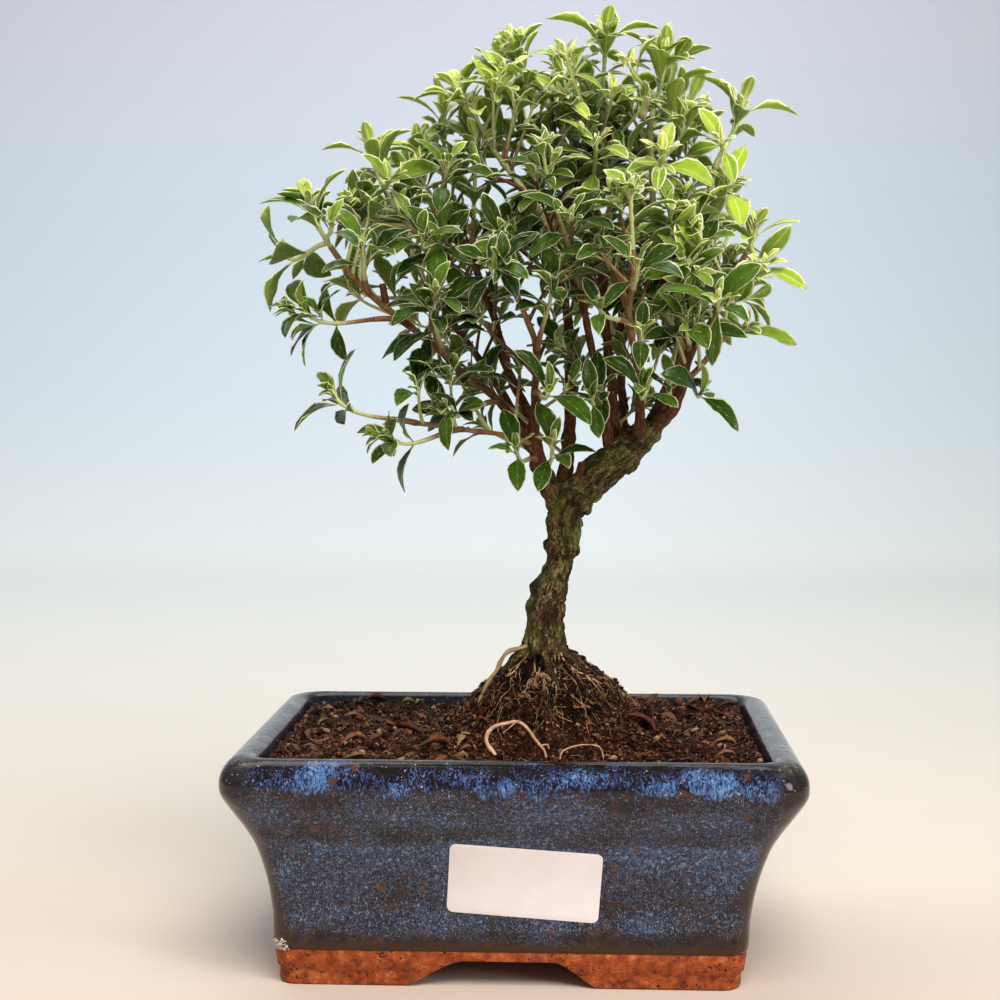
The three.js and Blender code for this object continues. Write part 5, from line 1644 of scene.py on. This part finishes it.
def make_inner_sprays(name, seed, tips):
    """The short leafy shoots that fill the crown along one limb."""
    course = LIMB_COURSES[name]
    length = length_of(course)
    draw = seeded(seed)
    bm = bmesh.new()
    paths = []
    green = 0.15  # the place on each shoot where its leaves begin
    place = 9 / length
    while place < 1:
        spot, axis = course(place), heading(course, place)
        x, _, z = spot
        leafy = smoothstep(193, 207, z) if over_forks(x) else smoothstep(176, 196, z)
        tip = inner_tip(spot, axis, tips, draw) if draw() < 0.12 + 0.88 * leafy else None
        if tip is not None:
            shoot_line = shoot_course(course, place, tip, 0.35)
            run = length_of(shoot_line, 20)
            joints = joints_of(run * (1 - green), green, 2 + (run > 22), 90 * draw(),
                               0.85 + 0.3 * draw(), draw)
            set_leaves(shoot_line, run, green, joints)
            shoot = {"course": shoot_line, "length": run, "bark": 0, "green": green, "joints": joints,
                     "tip": tip}
            # Shoots deep in the crown get older, darker leaves: partly their real age, partly painted shade
            # of the crown's inside.
            outer = smoothstep(0.5, 1, crown_share(tip, tips))
            dress(bm, shoot, draw, outer * youth_at(tip), None, 0.5)
            paths.append([(p, 0.74 * r) for p, r in stem_path(shoot)])
        thick = 0.4 * smoothstep(222, 250, z) + 0.12 * smoothstep(-34, -44, x)
        place += (2.9 + 4.2 * draw()) * (1 - thick) / length
    if not paths:
        bm.free()
        return None
    add_stems(bm, paths, lambda spots: np.interp(
        np.linalg.norm((spots - CROWN_CENTRE) * (1, 0.8, 1), axis=1), (30, 54), (0.95, 0.35)))
    return finished(f"inner_{name}", mesh_of(bm), [LEAF_UPPER, LEAF_UNDER, STEM])


def make_leaf_litter():
    """Fallen leaves on the soil, dry and curled."""
    draw = seeded(619)
    bm = bmesh.new()
    # Each one's place in plan, length, turn in radians and tone.
    lying = [
        (-30, -31, 10, 0.3, 0.45), (-52, -44, 8, 0.4, 0.7), (34, -14, 12, 0.25, 0.4), (52, 18, 10, 2.4, 0.5),
        (-60, 20, 8, 0.6, 0.7), (60, -34, 7, 0.2, 0.75), (-44, -8, 7, 2.2, 0.72), (-31, -3, 9, 2.9, 0.38),
        (-38, 44, 6, 1.2, 0.9), (-38, 45, 5, 3.3, 0.8), (-70, 30, 6, 0.4, 0.7), (-55, -20, 9, 0.7, 0.66),
        (-57, 50, 8, 0.2, 0.36), (63, 48, 10, 1.5, 0.5), (60, -18, 9, 0.3, 0.68), (70, 26, 7, 2.0, 0.45),
    ]
    for x, y in scattered(draw, LOOSE_LEAVES, 17, True):
        if soil_height(x, y) < SOIL_LEVEL + 8:
            lying.append((x, y, 2.5 + 4.5 * draw() ** 2, TURN * draw(), 0.2 + 0.75 * draw() ** 2))
    for x, y, length, turn, tone in lying:
        step = np.array([length * math.cos(turn), length * math.sin(turn)])
        slope = (soil_height(x + step[0], y + step[1]) - soil_height(x, y)) / length
        along = unit(np.array([*step / length, slope + 0.15 * (draw() - 0.3)]))
        face = unit(np.cross(np.cross(along, UP), along) + 0.4 * np.array([draw() - 0.5, draw() - 0.5, 0]))
        base = np.array([x, y, soil_top(x, y) + 0.7 + 0.05 * length])
        lay_leaf(bm, base, along, face, length, draw, 0.2 * draw(), 0.5 + 0.7 * draw(), tone, 1.1)
    mesh = mesh_of(bm)
    ages = np.empty(len(mesh.vertices), np.float32)
    mesh.attributes["age"].data.foreach_get("value", ages)
    write(mesh, "tone", ages)
    mesh.polygons.foreach_set("material_index", np.zeros(len(mesh.polygons), np.int32))
    return finished("leaf_litter", mesh, [LITTER])


# ---------------------------------------------------------------- studio
def make_stage():
    """A pale floor that sweeps up into a pale wall."""
    front, bend, radius, top = -1.6, 1.1, 0.5, 2.6
    arcs = np.linspace(0.1, math.pi / 2, 14)
    profile = [(front, 0), (bend, 0)]
    profile += [(bend + radius * math.sin(arc), radius - radius * math.cos(arc)) for arc in arcs]
    profile.append((bend + radius, top))
    bm = bmesh.new()
    bmesh.ops.create_grid(bm, x_segments=1, y_segments=len(profile) - 1, size=0.5)
    for vert in bm.verts:
        y, z = profile[round((vert.co.y + 0.5) * (len(profile) - 1))]
        vert.co = (6 * vert.co.x, y, z)
    mesh = mesh_of(bm, "studio_sweep")
    mesh.shade_smooth()
    material, tree, shader = new_material("paper_background_pale")
    spot = add(tree, "SeparateXYZ", {0: add(tree, "TexCoord")})
    away = add(tree, "Math", {0: spot.outputs["Y"], 1: spot.outputs["Z"]}, operation="ADD")
    away = add(tree, "Math", {0: away, 1: 2.4}, operation="DIVIDE")
    fade = add(tree, "ValToRGB", {0: away}, ramp=[
        (0.0, "#d2c5b9"), (0.028, "#d7cec2"), (0.082, "#d9d3c9"), (0.161, "#dbd8d0"), (0.29, "#e4e6df"),
        (0.52, "#f1f9f8"), (0.69, "#e2f1fb"), (0.83, "#dcecfb"), (0.93, "#e0e6f7")])
    # The backdrop is painted darker towards the right, as shade.
    painted_shade_right = add(tree, "MapRange", {0: spot.outputs["X"], 1: 0.05, 2: 0.75})
    paper = add(tree, "Mix", {0: painted_shade_right, 6: fade, 7: "#e6e6e4"}, blend_type="MULTIPLY")
    wire(shader, {"Base Color": paper, "Roughness": 0.9})
    mesh.materials.append(material)
    sweep = bpy.data.objects.new("studio_sweep", mesh)
    bpy.context.scene.collection.objects.link(sweep)


def add_light(name, place, target, size, watts, colour):
    """A rectangular softbox at a place, turned to its target."""
    data = bpy.data.lights.new(name, "AREA")
    data.shape = "RECTANGLE"
    data.size, data.size_y = size
    data.energy = watts
    data.color = srgb(colour)[:3]
    light = bpy.data.objects.new(name, data)
    light.location = place
    light.rotation_euler = (Vector(target) - Vector(place)).to_track_quat("-Z", "Y").to_euler()
    bpy.context.scene.collection.objects.link(light)
    return light


def set_studio():
    """Soft light from above left, a window low at the right, and the camera."""
    key = add_light("key_softbox", (0.28, -0.85, 1.3), (0, 0, 0.15), (1.0, 0.8), 27, "#fff6e8")
    key.visible_glossy = False
    add_light("window", (1.15, -0.85, 0.55), (0.05, 0, 0.08), (0.35, 0.6), 7, "#f2f6ff")
    add_light("top", (-0.28, 0.5, 1.5), (0, 0, 0.2), (1.4, 1.0), 12, "#f6f7fa")
    scene = bpy.context.scene
    scene.world = bpy.data.worlds.new("studio")
    scene.world.use_nodes = True
    wire(scene.world.node_tree.nodes["Background"], {"Color": "#e4e5e8", "Strength": 0.33})
    scene.view_settings.view_transform = "Standard"
    camera = bpy.data.objects.new("camera", bpy.data.cameras.new("camera"))
    camera.data.lens, camera.data.sensor_width, camera.data.clip_start = 62.3, 36, 0.01
    camera.location = (0.0204, -0.5543, 0.1760)
    pitch, yaw = math.radians(-3.4), math.radians(2.76)
    ahead = (-math.sin(yaw) * math.cos(pitch), math.cos(yaw) * math.cos(pitch), math.sin(pitch))
    camera.rotation_euler = Vector(ahead).to_track_quat("-Z", "Y").to_euler()
    scene.collection.objects.link(camera)
    scene.camera = camera


# ---------------------------------------------------------------- the object
GLAZE, CLAY, PAPER, LIME, PLASTIC = blue_glaze(), bare_clay(), coated_paper(), lime_bloom(), moulded_mesh()
SOIL, LITTER, ROOT, BARK = damp_soil(), dry_litter(), bare_root(), rough_bark()
LEAF_UPPER, LEAF_UNDER, STEM = leaf_face(True), leaf_face(False), green_stem()

make_pot()
make_label()
make_lime_crust()
make_soil_bed()
make_soil_crumbs()
make_bark_chips()
make_root_hairs()
make_root_loop()
make_trunk()
grown = grow_shoots()
make_limbs([woody_end(main) for main, *_ in grown])
for number, shoots in enumerate(grown, 1):
    make_spray(number, shoots)
crown_tips = np.array([shoot["tip"] for shoots in grown for shoot in shoots]) - CROWN_CENTRE
for i, name in enumerate(SLENDER, 2):
    make_inner_sprays(name, 5077 + 13 * i, crown_tips)
make_leaf_litter()
for side in ("left", "right"):
    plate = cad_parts[f"drain_mesh_{side}"]
    plate.data.materials.clear()
    plate.data.materials.append(PLASTIC)
make_stage()
set_studio()
